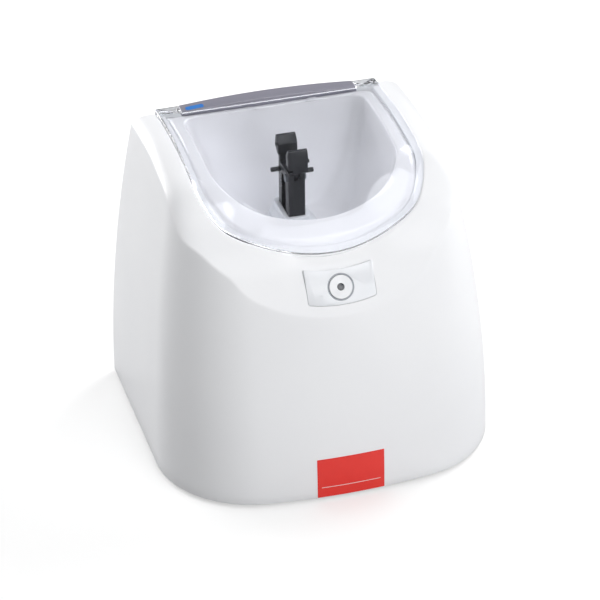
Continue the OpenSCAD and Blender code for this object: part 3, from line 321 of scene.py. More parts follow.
# %% [markdown]
# Almost every outline on the machine is the same figure: a D with a slow front arc, two
# rounder corners, straight sides and a flat back. The housing, the lid and the bowl differ
# only in its numbers. So one function gives its points, always with the same count, and a
# surface can run from any D to any other.

# %% The D outline
FRONT, BEND, SIDE, REAR_BEND, REAR = 22, 22, 22, 6, 10


def spread(a, b, n):
    """n values from just after a up to b."""
    return [a + (b - a) * i / n for i in range(1, n + 1)]


def d_outline(half, front, rear, front_r, bend_r, rear_r=1.0):
    """Points of a D, in mm, from the middle of its front, anticlockwise seen from above."""
    bend_x = half - bend_r
    front_mid = front + front_r
    bend_y = front_mid - math.sqrt((front_r - bend_r) ** 2 - bend_x ** 2)
    meet = math.atan2(bend_x, front_mid - bend_y)
    points = [(0.0, front)]
    points += [(front_r * math.sin(a), front_mid - front_r * math.cos(a))
               for a in spread(0, meet, FRONT)]
    points += [(bend_x + bend_r * math.sin(a), bend_y - bend_r * math.cos(a))
               for a in spread(meet, math.pi / 2, BEND)]
    points += [(half, y) for y in spread(bend_y, rear - rear_r, SIDE)]
    points += [(half - rear_r + rear_r * math.cos(a), rear - rear_r + rear_r * math.sin(a))
               for a in spread(0, math.pi / 2, REAR_BEND)]
    points += [(x, rear) for x in spread(half - rear_r, 0, REAR)]
    return points + [(-x, y) for x, y in points[-2:0:-1]]


# The sizes of the CAD source, in mm
BODY_W, BODY_D, CROWN = 210.0, 181.0, 185.0
REAR_Y = BODY_D / 2 - 1.5
FOOT_H = 2.5
SIDE_CURVE, FRONT_CURVE = 860.0, 393.0
FRONT_ARC, CORNER_R, REAR_CORNER = 348, 61, 3
LID_W, LID_FRONT, LID_R, LID_BEND = 142.0, 52.0, 100.0, 45.0
LID_REAR = REAR_Y - 0.5
BAR_D, BAR_W = 10.5, 112.4
BAR_FRONT = LID_REAR - BAR_D
HINGE_Z = CROWN - 7.5
NOTCH_Z, NOTCH_HALF = HINGE_Z - 6.5, LID_W / 2 + 0.5
ARM_Y, BOWL_FLOOR = 32.0, 112.0
SLOPE = math.radians(59.6)
BROW_FALL, STEP_FALL, SHOULDER_FALL, REAR_FALL = 41.4, 22.5, 5, 3
STEP_Y, SHOULDER_Y, CROWN_Y = -29, -3, 47
BROW = Vector((-57.5, CROWN - BROW_FALL))
ALONG = Vector((math.cos(SLOPE), math.sin(SLOPE)))
SHRINK = 0.15


def lid_shape(inset, rear):
    """Outline of the lid, moved inwards, with its flat back at a place given apart."""
    return d_outline(LID_W / 2 - inset, -LID_FRONT + inset, rear, LID_R - inset,
                     LID_BEND - inset, 1.0)


POINTS = len(lid_shape(0, LID_REAR))
print("points round each outline:", POINTS)

# %% [markdown]
# Seen from the side, the collar round the lid is one long S: it climbs steeply behind the
# button, levels into a step where the fingers reach under the lid, climbs again to a
# shoulder and runs nearly flat to the back. A spline through a few knots gives that curve,
# and a table of it answers two questions: how high is the collar at a place, and how steep.

# %% The collar's side view


def spline(a, b, c, d, t):
    """A point between b and c on the smooth curve through four points."""
    return 0.5 * (2 * b + (c - a) * t + (2 * a - 5 * b + 4 * c - d) * t ** 2
                  + (3 * b - a - 3 * c + d) * t ** 3)


# Each knot is a distance behind the middle and a height, in mm.
knots = [BROW - 16 * ALONG, BROW,
         Vector(((BROW.x + STEP_Y) / 2, CROWN - 0.49 * BROW_FALL - 0.42 * STEP_FALL)),
         Vector((STEP_Y, CROWN - STEP_FALL)),
         Vector(((STEP_Y + SHOULDER_Y) / 2 + 1, CROWN - (STEP_FALL + SHOULDER_FALL) / 2 + 2.25)),
         Vector((SHOULDER_Y, CROWN - SHOULDER_FALL)), Vector((15.667, CROWN - 2)),
         Vector((CROWN_Y, CROWN)), Vector((REAR_Y + 6, CROWN - REAR_FALL)),
         Vector((REAR_Y + 40, CROWN - 4 * REAR_FALL))]
PIECES = 14
profile = [BROW - 110 * ALONG]
for a, b, c, d in zip(knots, knots[1:], knots[2:], knots[3:]):
    profile += [spline(a, b, c, d, step / PIECES) for step in range(PIECES)]
profile.append(knots[-2])


def collar_height(y):
    """Height of the collar, in mm, at a distance y behind the middle."""
    for low, high in zip(profile, profile[1:]):
        if y <= high.x:
            return low.y + (high.y - low.y) * (y - low.x) / (high.x - low.x)
    return profile[-1].y


def collar_slope(y):
    """Angle of the collar to the table, in radians, at a distance y behind the middle."""
    return math.atan2(collar_height(y + 1.5) - collar_height(y - 1.5), 3.0)


def on_collar(x, y, lift=0.0):
    """The point over (x, y) on the collar, moved out of it by lift along its normal."""
    angle = collar_slope(y)
    return Vector((x, y - lift * math.sin(angle), collar_height(y) + lift * math.cos(angle)))


print("collar at the brow", round(collar_height(BROW.x), 1), "mm, at the crown",
      round(collar_height(CROWN_Y), 1))

# %% [markdown]
# A skin is pulled over a stack of outlines, the way a plug is lofted in a mould shop. The
# first outline becomes a loop of edges, and the extrude operator pulls each next loop out
# of the last one, so the faces always run in clean rows that take a bevel well.

# %% Skins over a stack of outlines


def ring_edges(bm, verts):
    return [bm.edges.get((a, b)) for a, b in zip(verts, verts[1:] + verts[:1])]


def first_loop(bm, points):
    """A closed loop of edges through points in mm."""
    verts = [bm.verts.new(Vector(p) * MM) for p in points]
    for a, b in zip(verts, verts[1:] + verts[:1]):
        bm.edges.new((a, b))
    return verts


def next_loop(bm, verts, points):
    """Extrudes the closed loop through verts and moves the new loop to points in mm."""
    grown = bmesh.ops.extrude_edge_only(bm, edges=ring_edges(bm, verts))["geom"]
    fresh = {v for v in grown if isinstance(v, bmesh.types.BMVert)}
    after = []
    for old, point in zip(verts, points):
        new = next(e.other_vert(old) for e in old.link_edges if e.other_vert(old) in fresh)
        new.co = Vector(point) * MM
        after.append(new)
    return after


def skin(bm, loops):
    """Pulls a skin over a list of outlines and returns the vertices of each."""
    rows = [first_loop(bm, loops[0])]
    for points in loops[1:]:
        rows.append(next_loop(bm, rows[-1], points))
    return rows


def block(outline, low, high, axis):
    """A mesh in mm: an outline pulled from low to high along an axis, closed at both ends."""
    bm = bmesh.new()
    ends = [[(*p[:axis], place, *p[axis:]) for p in outline] for place in (low, high)]
    for verts in skin(bm, ends):
        bm.faces.new(verts)
    bmesh.ops.recalc_face_normals(bm, faces=bm.faces)
    return bm


def finish_mesh(bm, name, finish, sharp=38, outwards=True):
    """Makes an object of a bmesh: smooth, with creases where faces meet sharply."""
    if outwards:
        bmesh.ops.recalc_face_normals(bm, faces=bm.faces)
    mesh = bpy.data.meshes.new(name)
    bm.to_mesh(mesh)
    bm.free()
    piece = bpy.data.objects.new(name, mesh)
    bpy.context.scene.collection.objects.link(piece)
    mesh.materials.append(finish)
    mesh.shade_smooth()
    mesh.set_sharp_from_angle(angle=math.radians(sharp))
    return piece


def thicken(piece, thickness):
    """Gives an open skin a thickness in mm behind its faces."""
    wall = piece.modifiers.new("wall", "SOLIDIFY")
    wall.thickness = thickness * MM
    wall.offset = -1


def mix(a, b, t):
    return a + (b - a) * t


def meeting(low, high, rounds, under):
    """Halves a range until it closes in on the place where under() stops being true."""
    for _ in range(rounds):
        middle = (low + high) / 2
        if under(middle):
            low = middle
        else:
            high = middle
    return low


print("skin helpers ready")

# %% [markdown]
# Openings are easier to cut than to plan round. A cutter is a closed block, and the Boolean
# modifier takes its space away. The result is read back as a plain mesh, so that nothing
# live is left on the piece.

# %% Cutting and applying


def apply_modifiers(piece, sharp=38):
    """Turns a piece with modifiers into a plain mesh."""
    graph = bpy.context.evaluated_depsgraph_get()
    mesh = bpy.data.meshes.new_from_object(piece.evaluated_get(graph))
    piece.modifiers.clear()
    old = piece.data
    piece.data = mesh
    bpy.data.meshes.remove(old)
    mesh.set_sharp_from_angle(angle=math.radians(sharp))
    return piece


def cut(piece, cutters, operation="DIFFERENCE"):
    """Takes the space of closed cutter objects out of a piece, and removes the cutters."""
    for cutter in cutters:
        boolean = piece.modifiers.new("cut", "BOOLEAN")
        boolean.operation = operation
        boolean.solver = "EXACT"
        boolean.object = cutter
    apply_modifiers(piece)
    for cutter in cutters:
        mesh = cutter.data
        bpy.data.objects.remove(cutter)
        bpy.data.meshes.remove(mesh)
    return piece


def box_mesh(bm, low, high):
    """Adds a box between two corners in mm and returns its vertices."""
    verts = bmesh.ops.create_cube(bm, size=1.0)["verts"]
    for v in verts:
        v.co = Vector([(low[i] + high[i]) / 2 + v.co[i] * (high[i] - low[i])
                       for i in range(3)]) * MM
    return verts


def box_cutter(low, high):
    bm = bmesh.new()
    box_mesh(bm, low, high)
    return finish_mesh(bm, "cutter", housing_abs)


def bevel(bm, edges, width, segments=3):
    """Rounds edges by a width in mm."""
    return bmesh.ops.bevel(bm, geom=edges, offset=width * MM, offset_type="OFFSET",
                           segments=segments, profile=0.5, affect="EDGES", material=-1,
                           clamp_overlap=True)


def sharp_edges(bm, angle):
    """Edges whose two faces meet at more than an angle in degrees."""
    limit = math.radians(angle)
    return [e for e in bm.edges if len(e.link_faces) == 2 and e.calc_face_angle(0) > limit]


print("cutting helpers ready")

# %% [markdown]
# The housing is one moulding. Its walls bow slowly inwards as they rise, faster at the front
# than at the sides, and the collar cuts them off along the S. It could be carved with
# Booleans alone, but the soft edge between wall and collar is what catches the light, and
# it needs clean rows. So the skin runs up the wall, over the crease, across the collar,
# down the lid's rebate and back inside, and only the small openings are cut. At the sides
# the collar's outer edge hangs a little lower than its inner one, which rounds it off.

# %% Outlines of the housing


def lean(z, curve):
    return z * z / (2 * curve)


def wall_outline(z, inset):
    """Outline of the housing's wall at a height z, moved inwards."""
    side = lean(z, SIDE_CURVE) + inset
    return d_outline(BODY_W / 2 - side, -BODY_D / 2 + lean(z, FRONT_CURVE) + inset,
                     REAR_Y - inset, FRONT_ARC - side, CORNER_R - side,
                     max(REAR_CORNER - inset, 0.5))


wall_tables = {}


def wall_point(index, z, inset):
    """One point of the wall at any height, read from outlines 2 mm apart."""
    step = int(z // 2)
    for s in (step, step + 1):
        if (s, inset) not in wall_tables:
            wall_tables[(s, inset)] = wall_outline(2.0 * s, inset)
    low, high = wall_tables[(step, inset)][index], wall_tables[(step + 1, inset)][index]
    t = z / 2 - step
    return Vector((mix(low[0], high[0], t), mix(low[1], high[1], t), z))


def smooth_step(t):
    t = min(max(t, 0.0), 1.0)
    return t * t * (3 - 2 * t)


MOST_DROOP, DROOP_STARTS, DROOP_RUN = 4.5, -45, 36


def droop(y):
    """How far the collar's outer edge hangs below its inner edge, in mm, at a distance y."""
    return MOST_DROOP * smooth_step((y - DROOP_STARTS) / DROOP_RUN)


def crease_height(index, inset, drop=0.0):
    """Height at which a wall's point meets the drooping collar, lowered by drop."""
    def under(z):
        y = wall_point(index, z, inset).y
        return collar_height(y) - droop(y) - drop > z

    return meeting(30.0, 190.0, 24, under)


rim = [crease_height(i, SHRINK) for i in range(POINTS)]
print("crease from", round(min(rim), 1), "to", round(max(rim), 1), "mm high")

# %% Rows of the housing
WALL_ROWS = 22
COLLAR_ROWS = 12
WALL = 3.0


def rebate_outline(grow):
    return lid_shape(-grow, REAR_Y - 5)


SCOOP_X, SCOOP_Y, SCOOP_DEPTH = -4.0, -56.5, 2.6
SCOOP_LEFT, SCOOP_RIGHT, SCOOP_FRONT, SCOOP_BACK = 30, 44, 9.5, 22


def scoop_depth(x, y):
    """Depth of the finger scoop, in mm: steep on its left and lower side, fading right."""
    across = (x - SCOOP_X) / (SCOOP_LEFT if x < SCOOP_X else SCOOP_RIGHT)
    along = (y - SCOOP_Y) / (SCOOP_FRONT if y < SCOOP_Y else SCOOP_BACK)
    far = math.sqrt(across ** 2 + along ** 2)
    if far >= 1:
        return 0.0
    return SCOOP_DEPTH * (1 - far ** 2) ** 1.6


def collar_row(t):
    """Row of the collar at a share t of the way from the crease to the rebate."""
    row = []
    goal = rebate_outline(0.5)
    for i in range(POINTS):
        start = wall_point(i, rim[i], SHRINK)
        x, y = mix(start.x, goal[i][0], t), mix(start.y, goal[i][1], t)
        hang = droop(start.y) * (1 - t) ** 3
        row.append(on_collar(x, y, -SHRINK - scoop_depth(x, y)) - Vector((0, 0, hang)))
    return row


loops = [[wall_point(i, mix(FOOT_H, rim[i] - 0.1, t / WALL_ROWS), SHRINK) for i in range(POINTS)]
         for t in range(WALL_ROWS + 1)]
loops += [collar_row(t / COLLAR_ROWS) for t in range(1, COLLAR_ROWS + 1)]
edge, ledge = rebate_outline(0.5), rebate_outline(-4.0)
loops.append([on_collar(x, y, -1.0 - SHRINK) for x, y in edge])
loops.append([on_collar(x, y, -1.0 - SHRINK) for x, y in ledge])
loops.append([on_collar(x, y, -WALL) for x, y in ledge])
inner = [crease_height(i, WALL, WALL * 1.2) for i in range(POINTS)]
loops += [[wall_point(i, mix(inner[i], FOOT_H, t / 8), WALL) for i in range(POINTS)]
          for t in range(9)]
print("outlines of the housing:", len(loops))

# %% Pull and soften the housing's skin
bm = bmesh.new()
rows = skin(bm, loops)
bmesh.ops.bridge_loops(bm, edges=ring_edges(bm, rows[-1]) + ring_edges(bm, rows[0]))
crease = ring_edges(bm, rows[WALL_ROWS])
lip = ring_edges(bm, rows[WALL_ROWS + COLLAR_ROWS])
bmesh.ops.recalc_face_normals(bm, faces=bm.faces)
bevel(bm, crease, 1.5, 4)
bevel(bm, lip, 0.35, 2)
foot_edge = [e for e in bm.edges if all(abs(v.co.z - FOOT_H * MM) < 1e-6 for v in e.verts)
             and e.calc_face_angle(0) > 1.2]
bevel(bm, foot_edge, 0.6, 2)
housing = finish_mesh(bm, "housing_shell", housing_abs, 32)
print("housing skin:", len(housing.data.polygons), "faces")

# %% [markdown]
# The button panel lies in a pocket of the front slope. Its upper and lower edges are slow
# arcs, so the pocket's cutter is an extruded outline, turned onto the slope like everything
# on it. The rear wall gets its square openings for the mains inlet, the switch and the air.

# %% Openings of the housing
PANEL_W, PANEL_H, PANEL_T, PANEL_ARC = 42.0, 21.0, 2.4, 88.0
PANEL_X, BUTTON_DROP = 1.7, 13.0
spot = BROW - BUTTON_DROP * ALONG
onto_slope = (Matrix.Translation(Vector((PANEL_X, spot.x, spot.y)) * MM)
              @ Matrix.Rotation(SLOPE, 4, "X"))


def panel_outline(grow, steps=16):
    """Outline of the panel, grown by some mm, with arched upper and lower edges."""
    half = PANEL_W / 2 + grow
    upper, lower = [], []
    for i in range(steps + 1):
        x = mix(-half, half, i / steps)
        sag = PANEL_ARC - math.sqrt(PANEL_ARC ** 2 - x * x)
        lower.append((x, sag - PANEL_H / 2 - grow))
        upper.append((x, sag + PANEL_H / 2 + grow))
    return lower + upper[::-1]


def slope_prism(outline, low, high, name="cutter", finish=housing_abs, corner=1.0, soft=0.0):
    """A block on the front slope, between two depths in mm along the slope's normal."""
    bm = block(outline, low, high, 2)
    upright = [e for e in bm.edges if abs(e.verts[0].co.z - e.verts[1].co.z) > 1e-5
               and e.calc_face_angle(0) > 0.8]
    if corner:
        bevel(bm, upright, corner, 4)
    if soft:
        rim_edges = [e for e in bm.edges if all(abs(v.co.z - high * MM) < 1e-6 for v in e.verts)
                     and e.calc_face_angle(0) > 0.8]
        bevel(bm, rim_edges, soft, 2)
    bmesh.ops.transform(bm, matrix=onto_slope, verts=bm.verts)
    return finish_mesh(bm, name, finish, 35)


cutters = [
    box_cutter((-NOTCH_HALF, BAR_FRONT, NOTCH_Z), (NOTCH_HALF, 120, 220)),
    slope_prism(panel_outline(0.12), -PANEL_T - 0.05, 12, corner=1.25),
    slope_prism([(-16.5, -8.6), (16.5, -8.6), (16.5, 8.6), (-16.5, 8.6)], -14, -1, corner=0),
    box_cutter((-75.7, REAR_Y - 6, 18.3), (-48.3, REAR_Y + 5, 49.7)),
    box_cutter((-28.7, REAR_Y - 6, 24.2), (-15.3, REAR_Y + 5, 43.8)),
]
cutters += [box_cutter((20 + 7 * i, REAR_Y - 6, 84), (23 + 7 * i, REAR_Y + 6, 110))
            for i in range(9)]
cut(housing, cutters)
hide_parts("housing")
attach(housing, "base")
print("housing with its openings:", len(housing.data.polygons), "faces")

# %% [markdown]
# The lid is injection moulded in one shot: a plate with a slightly thicker rim and two
# solid ears that carry the hinge. Its rim and ears refract the most, so they get real
# fillets. The plate follows the collar's S, because it was made to close flush with it.

# %% Lid
LID_PROUD, LID_UNDER, RIM, RIM_STEP, LID_MIDDLE = 1.8, -0.68, 4.5, 0.45, 30.0


def lid_outline(inset):
    return lid_shape(inset, LID_REAR - inset * 0.5)


def lid_loop(inset, lift):
    return [on_collar(x, y, lift) for x, y in lid_outline(inset)]


def shrunk(points, share):
    """Points in plan drawn towards a middle until only a share of their distance is left."""
    return [(x * share, mix(LID_MIDDLE, y, share)) for x, y in points]


bm = bmesh.new()
core_out = lid_outline(RIM + 1.2)
stack = [lid_loop(RIM + 1.2, LID_PROUD - RIM_STEP), lid_loop(RIM, LID_PROUD),
         lid_loop(0, LID_PROUD), lid_loop(0, LID_UNDER), lid_loop(RIM + 1.2, LID_UNDER)]
rows = skin(bm, stack)
rim_edge = ring_edges(bm, rows[2])
low_edge = ring_edges(bm, rows[3])
for row, lift in ((rows[0], LID_PROUD - RIM_STEP), (rows[4], LID_UNDER)):
    last = row
    for share in (0.82, 0.6, 0.36, 0.14):
        last = next_loop(bm, last, [on_collar(x, y, lift) for x, y in shrunk(core_out, share)])
    bm.faces.new(last)
bmesh.ops.recalc_face_normals(bm, faces=bm.faces)
bevel(bm, rim_edge, 0.9, 4)
bevel(bm, low_edge, 0.4, 2)
lid = finish_mesh(bm, "lid_plate", lid_clear, 28)


def ear(side):
    """A solid ear of the lid beside the bar, with rounded upright edges."""
    bm = bmesh.new()
    low, high = sorted((side * 56.3, side * (LID_W / 2 - 0.2)))
    box_mesh(bm, (low, 79.5, HINGE_Z - 3.5), (high, LID_REAR - 0.1, 184.4))
    bevel(bm, bm.edges[:], 0.8, 3)
    return finish_mesh(bm, "cutter", lid_clear)


cut(lid, [ear(-1), ear(1)], "UNION")
cut(lid, [box_cutter((-BAR_W / 2 - 0.1, BAR_FRONT - 0.1, 160), (BAR_W / 2 + 0.1, 100, 200))])
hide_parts("lid")
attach(lid, "lid")
print("lid:", len(lid.data.polygons), "faces")

# %% [markdown]
# The bar along the rear edge is an opaque strip that hides the magnet. Its top is a slow
# arch. A block is cut into short lengths, its upper edge is raised along the arch, and the
# long edges are rounded. The blue patch is a thin film laid into it.

# %% Bar with its patch
BAR_TOP = CROWN + 2.6
BAR_ARCH = 653.0


def bar_top(x):
    return BAR_TOP - (BAR_ARCH - math.sqrt(BAR_ARCH ** 2 - x * x)) - SHRINK


bm = bmesh.new()
box_mesh(bm, (-BAR_W / 2, BAR_FRONT, HINGE_Z + 1.5), (BAR_W / 2, LID_REAR, BAR_TOP))
for x in [mix(-52, 52, i / 16) for i in range(17)]:
    bmesh.ops.bisect_plane(bm, geom=bm.verts[:] + bm.edges[:] + bm.faces[:],
                           plane_co=(x * MM, 0, 0), plane_no=(1, 0, 0))
for v in bm.verts:
    if v.co.z > 0.185:
        v.co.z = bar_top(v.co.x / MM) * MM
bevel(bm, sharp_edges(bm, 40), 0.9, 4)
bar = finish_mesh(bm, "lid_bar_strip", bar_abs, 28)
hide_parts("lid_bar")
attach(bar, "lid")

bm = bmesh.new()
box_mesh(bm, (-52.9, 79.6, 180), (-41.5, 83.9, 181))
bevel(bm, [e for e in bm.edges if abs(e.verts[0].co.z - e.verts[1].co.z) > 5e-4], 1.4, 4)
for v in bm.verts:
    lift = 0.12 if v.co.z > 0.1805 else -0.3
    v.co.z = (bar_top(v.co.x / MM) + lift) * MM
patch = finish_mesh(bm, "bar_patch", patch_film, 30)
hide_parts("bar_badge")
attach(patch, "lid")
print("bar:", len(bar.data.polygons), "faces, patch:", len(patch.data.polygons))

# %% [markdown]
# The bowl keeps the splashes in. It has a wide flange under the lid's edge, a soft lip, and
# walls that draw in towards a small flat floor with a round hole for the fork. It follows
# the CAD source's outlines over more rows, and the wall's foot and lip are bevelled,
# because a moulded bowl has no sharp inner corner for amalgam to stick in.

# %% Bowl
MOUTH_HALF, MOUTH_FRONT, MOUTH_REAR = LID_W / 2 - 12, -LID_FRONT + 16, 74.6
FLOOR_HALF, FLOOR_FRONT, FLOOR_REAR = 36.0, -4.0, 66.0
BOWL_ARC, BOWL_BEND, BOWL_CORNER = (55, 82), (33, 38), (26, 9)
BOOT_HOLE, LIP_DROP, FLANGE_IN, FLANGE_REAR = 21.2, 2.2, 4.4, 77.4
TABLE_STEPS, BOWL_ROWS = 60, 18


def bowl_outline(share):
    """Outline of the bowl's inside at a share of its height, wide at the top."""
    s = math.sqrt(max(share, 0))
    return d_outline(mix(FLOOR_HALF, MOUTH_HALF, s), mix(FLOOR_FRONT, MOUTH_FRONT, s),
                     mix(FLOOR_REAR, MOUTH_REAR, s), mix(*BOWL_ARC, s), mix(*BOWL_BEND, s),
                     mix(*BOWL_CORNER, s))


bowl_table = [bowl_outline(i / TABLE_STEPS) for i in range(TABLE_STEPS + 1)]


def bowl_point(index, share):
    """One point of the bowl's inside, between two outlines of the table."""
    low = min(int(share * TABLE_STEPS), TABLE_STEPS - 1)
    a, b = bowl_table[low][index], bowl_table[low + 1][index]
    t = share * TABLE_STEPS - low
    return Vector((mix(a[0], b[0], t), mix(a[1], b[1], t),
                   mix(BOWL_FLOOR, CROWN + 3, share)))


def lip_share(index):
    """Share of the height at which a point of the bowl meets the flange."""
    def under(share):
        point = bowl_point(index, share)
        return collar_height(point.y) - LIP_DROP > point.z

    return meeting(0.2, 1.0, 22, under)


lip_shares = [lip_share(i) for i in range(POINTS)]
print("lip at shares from", round(min(lip_shares), 2), "to", round(max(lip_shares), 2))

# %% Rows of the bowl
flange = lid_shape(FLANGE_IN, FLANGE_REAR)
mouth = [bowl_point(i, lip_shares[i]) for i in range(POINTS)]
loops = []
for t in (0.0, 0.33, 0.66):
    plan = [(mix(x, p.x, t), mix(y, p.y, t)) for (x, y), p in zip(flange, mouth)]
    loops.append([Vector((x, y, collar_height(y) - LIP_DROP)) for x, y in plan])
loops.append(mouth)
lip_row = len(loops) - 1
for t in range(1, BOWL_ROWS + 1):
    loops.append([bowl_point(i, lip_shares[i] * (1 - t / BOWL_ROWS) ** 1.4)
                  for i in range(POINTS)])
foot_row = len(loops) - 1
for t in (0.35, 0.7, 1.0):
    row = []
    for x, y in bowl_outline(0):
        away = Vector((x, y - ARM_Y)).normalized() * BOOT_HOLE
        row.append(Vector((mix(x, away.x, t), mix(y, ARM_Y + away.y, t), BOWL_FLOOR)))
    loops.append(row)
bm = bmesh.new()
rows = skin(bm, loops)
bmesh.ops.recalc_face_normals(bm, faces=bm.faces)
floor_face = min(bm.faces, key=lambda f: f.calc_center_median().z)
if floor_face.normal.z < 0:
    bmesh.ops.reverse_faces(bm, faces=bm.faces)
bevel(bm, ring_edges(bm, rows[lip_row]), 1.8, 5)
bevel(bm, ring_edges(bm, rows[foot_row]), 5.0, 5)
bowl = finish_mesh(bm, "bowl_shell", bowl_abs, 50, outwards=False)
thicken(bowl, 2.2)
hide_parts("mixing_bowl")
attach(bowl, "base")
print("bowl:", len(bowl.data.polygons), "faces")

# %% [markdown]
# The boot is a bellows of soft rubber. It stands on the bowl's floor as a wide, almost round
# cone, and closes as a small rounded rectangle round the fork's stem. Its folds follow the
# same table as the CAD source, smoothed by the spline.

# %% Rubber boot
BOOT_R, STEM_W, STEM_D = 24.0, 10.5, 23.0
folds = [(1.5, 0, 0), (5, .16, 0), (6.6, .26, .9), (9.4, .42, 0), (11, .52, .9),
         (14, .7, 0), (15.6, .78, .9), (19, .96, 0), (22, 1, 0)]


def round_box(half_x, half_y, radius, z, steps=9):
    """Outline of a rounded rectangle round the stem's axis."""
    points = []
    for sx, sy, start in ((1, -1, -90), (1, 1, 0), (-1, 1, 90), (-1, -1, 180)):
        for i in range(steps + 1):
            a = math.radians(start + 90 * i / steps)
            points.append((sx * (half_x - radius) + radius * math.cos(a),
                           ARM_Y + sy * (half_y - radius) + radius * math.sin(a), z))
    return points


def boot_loop(fold, inset=0.2):
    height, share, bulge = fold
    base, top = BOOT_R - 2.6, (STEM_W / 2 + 3.2, STEM_D / 2 + 3.2, 3.6)
    return round_box(*(mix(base, t, share) + bulge - inset for t in top), BOWL_FLOOR + height)


smooth_folds = []
for a, b, c, d in zip([folds[0]] + folds, folds, folds[1:], folds[2:] + [folds[-1]]):
    smooth_folds += [tuple(spline(*(Vector(k) for k in (a, b, c, d)), step / 5))
                     for step in range(5)]
smooth_folds.append(folds[-1])
flange_r = BOOT_R + 5 - 0.2
bm = bmesh.new()
rows = skin(bm, [round_box(flange_r, flange_r, flange_r - 0.1, BOWL_FLOOR + 0.15),
                 round_box(flange_r, flange_r, flange_r - 0.1, BOWL_FLOOR + 1.4)]
            + [boot_loop(f) for f in smooth_folds]
            + [round_box(STEM_W / 2 + 0.15, STEM_D / 2 + 0.15, 0.6, BOWL_FLOOR + 21.8),
               round_box(STEM_W / 2 + 0.15, STEM_D / 2 + 0.15, 0.6, BOWL_FLOOR + 20.4)])
bmesh.ops.recalc_face_normals(bm, faces=bm.faces)
bevel(bm, ring_edges(bm, rows[1]), 0.5, 2)
bevel(bm, ring_edges(bm, rows[2 + len(smooth_folds) - 1]), 0.6, 3)
boot = finish_mesh(bm, "boot_bellows", boot_rubber, 60, outwards=False)
thicken(boot, 1.1)
apply_modifiers(boot, 60)
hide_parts("arm_boot")
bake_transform(boot)
print("boot:", len(boot.data.polygons), "faces")

# %% [markdown]
# The fork is the heart of the machine and its darkest piece, so each rounded edge shows as
# a light line. Its parts are prisms: a side view extruded along the shaft's direction, with
# its edges rounded before the parts are joined, as a mould maker would break them.

# %% Prisms for the fork
STEM_FRONT, STEM_BACK, STEM_TOP = ARM_Y - 11.5, ARM_Y + 11.5, 162.5
JAW_FRONT, JAW_BACK, JAW_HALF = 23.0, 40.0, 6.3
JAW_TOP, FRONT_TOP = 178.0, 179.7
JAW_PIN = (STEM_FRONT + 4.4, STEM_TOP - 3.5)


def side_prism(outline, x0, x1, soft=0.5, segments=3, name="cutter"):
    """A block from a side view, given as (y, z), between two places along X, in mm."""
    bm = block(outline, x0, x1, 0)
    bevel(bm, sharp_edges(bm, 20), soft, segments)
    return finish_mesh(bm, name, fork_nylon, 32)


def front_prism(outline, y0, y1):
    """A block from a front view, given as (x, z), between two places along Y, in mm."""
    bm = block(outline, y0, y1, 1)
    bevel(bm, sharp_edges(bm, 20), 0.4, 2)
    return finish_mesh(bm, "cutter", fork_nylon, 32)


def rod(radius, x0, x1, y, z, soft=0.3, sides=32):
    """A round bar along X, in mm, with rounded ends."""
    bm = bmesh.new()
    turn = Matrix.Translation(Vector(((x0 + x1) / 2, y, z)) * MM) @ Matrix.Rotation(
        math.pi / 2, 4, "Y")
    bmesh.ops.create_cone(bm, cap_ends=True, segments=sides, radius1=radius * MM,
                          radius2=radius * MM, depth=(x1 - x0) * MM, matrix=turn)
    if soft:
        bevel(bm, sharp_edges(bm, 60), soft, 3)
    return finish_mesh(bm, "cutter", fork_nylon, 40)


print("prism helpers ready")

# %% Fork arm with its rear jaw
half = STEM_W / 2
arm = side_prism([(STEM_FRONT, 84), (STEM_BACK, 84), (STEM_BACK, STEM_TOP + 7.5),
                  (JAW_BACK + 0.2, STEM_TOP + 7.5), (JAW_BACK, STEM_TOP),
                  (STEM_FRONT, STEM_TOP)], -half, half, 0.7, 3, "fork_stem")
for side in (-1, 1):
    low, high = sorted((side * (half - 2.2), side * 9))
    cut(arm, [side_prism([(ARM_Y - 4.5, 97), (ARM_Y + 4.5, 97), (ARM_Y + 4.5, STEM_TOP - 5.2),
                          (ARM_Y - 4.5, STEM_TOP - 5.2)], low, high, 0.5, 2)])
head = side_prism([(JAW_BACK, STEM_TOP + 4), (JAW_BACK, JAW_TOP - 4.8),
                   (JAW_BACK + 3.2, JAW_TOP), (JAW_BACK + 5.4, JAW_TOP),
                   (JAW_BACK + 6.4, JAW_TOP - 5), (JAW_BACK + 5.4, STEM_TOP + 8),
                   (STEM_BACK, STEM_TOP + 4)], -JAW_HALF, JAW_HALF, 0.6, 3)
cut(head, [front_prism([(-5.6, 163), (5.6, 163), (JAW_HALF - 0.1, 169), (JAW_HALF + 0.1, 173),
                        (5.9, 179), (-5.9, 179), (-JAW_HALF - 0.1, 173),
                        (-JAW_HALF + 0.1, 169)], 30, 60)], "INTERSECT")
cut(arm, [head, rod(1.5, -JAW_HALF - 4.4, 0, STEM_BACK - 2, STEM_TOP - 5.5, 0.5),
          rod(1.3, -JAW_HALF - 0.7, 0, JAW_BACK + 2.6, JAW_TOP - 5.5)], "UNION")
cut(arm, [box_cutter((-3.5, STEM_FRONT + 1.2, STEM_TOP - 9), (3.5, STEM_FRONT + 9, STEM_TOP + 2)),
          box_cutter((-1.9, STEM_FRONT - 2, STEM_TOP - 4), (1.9, STEM_FRONT + 2, STEM_TOP + 2)),
          rod(1.55, -9, 9, *JAW_PIN, soft=0),
          box_cutter((-3.05, ARM_Y - 6.05, 80), (3.05, ARM_Y + 6.05, 94))])
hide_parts("fork_arm")
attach(arm, "fork")
print("fork arm:", len(arm.data.polygons), "faces")

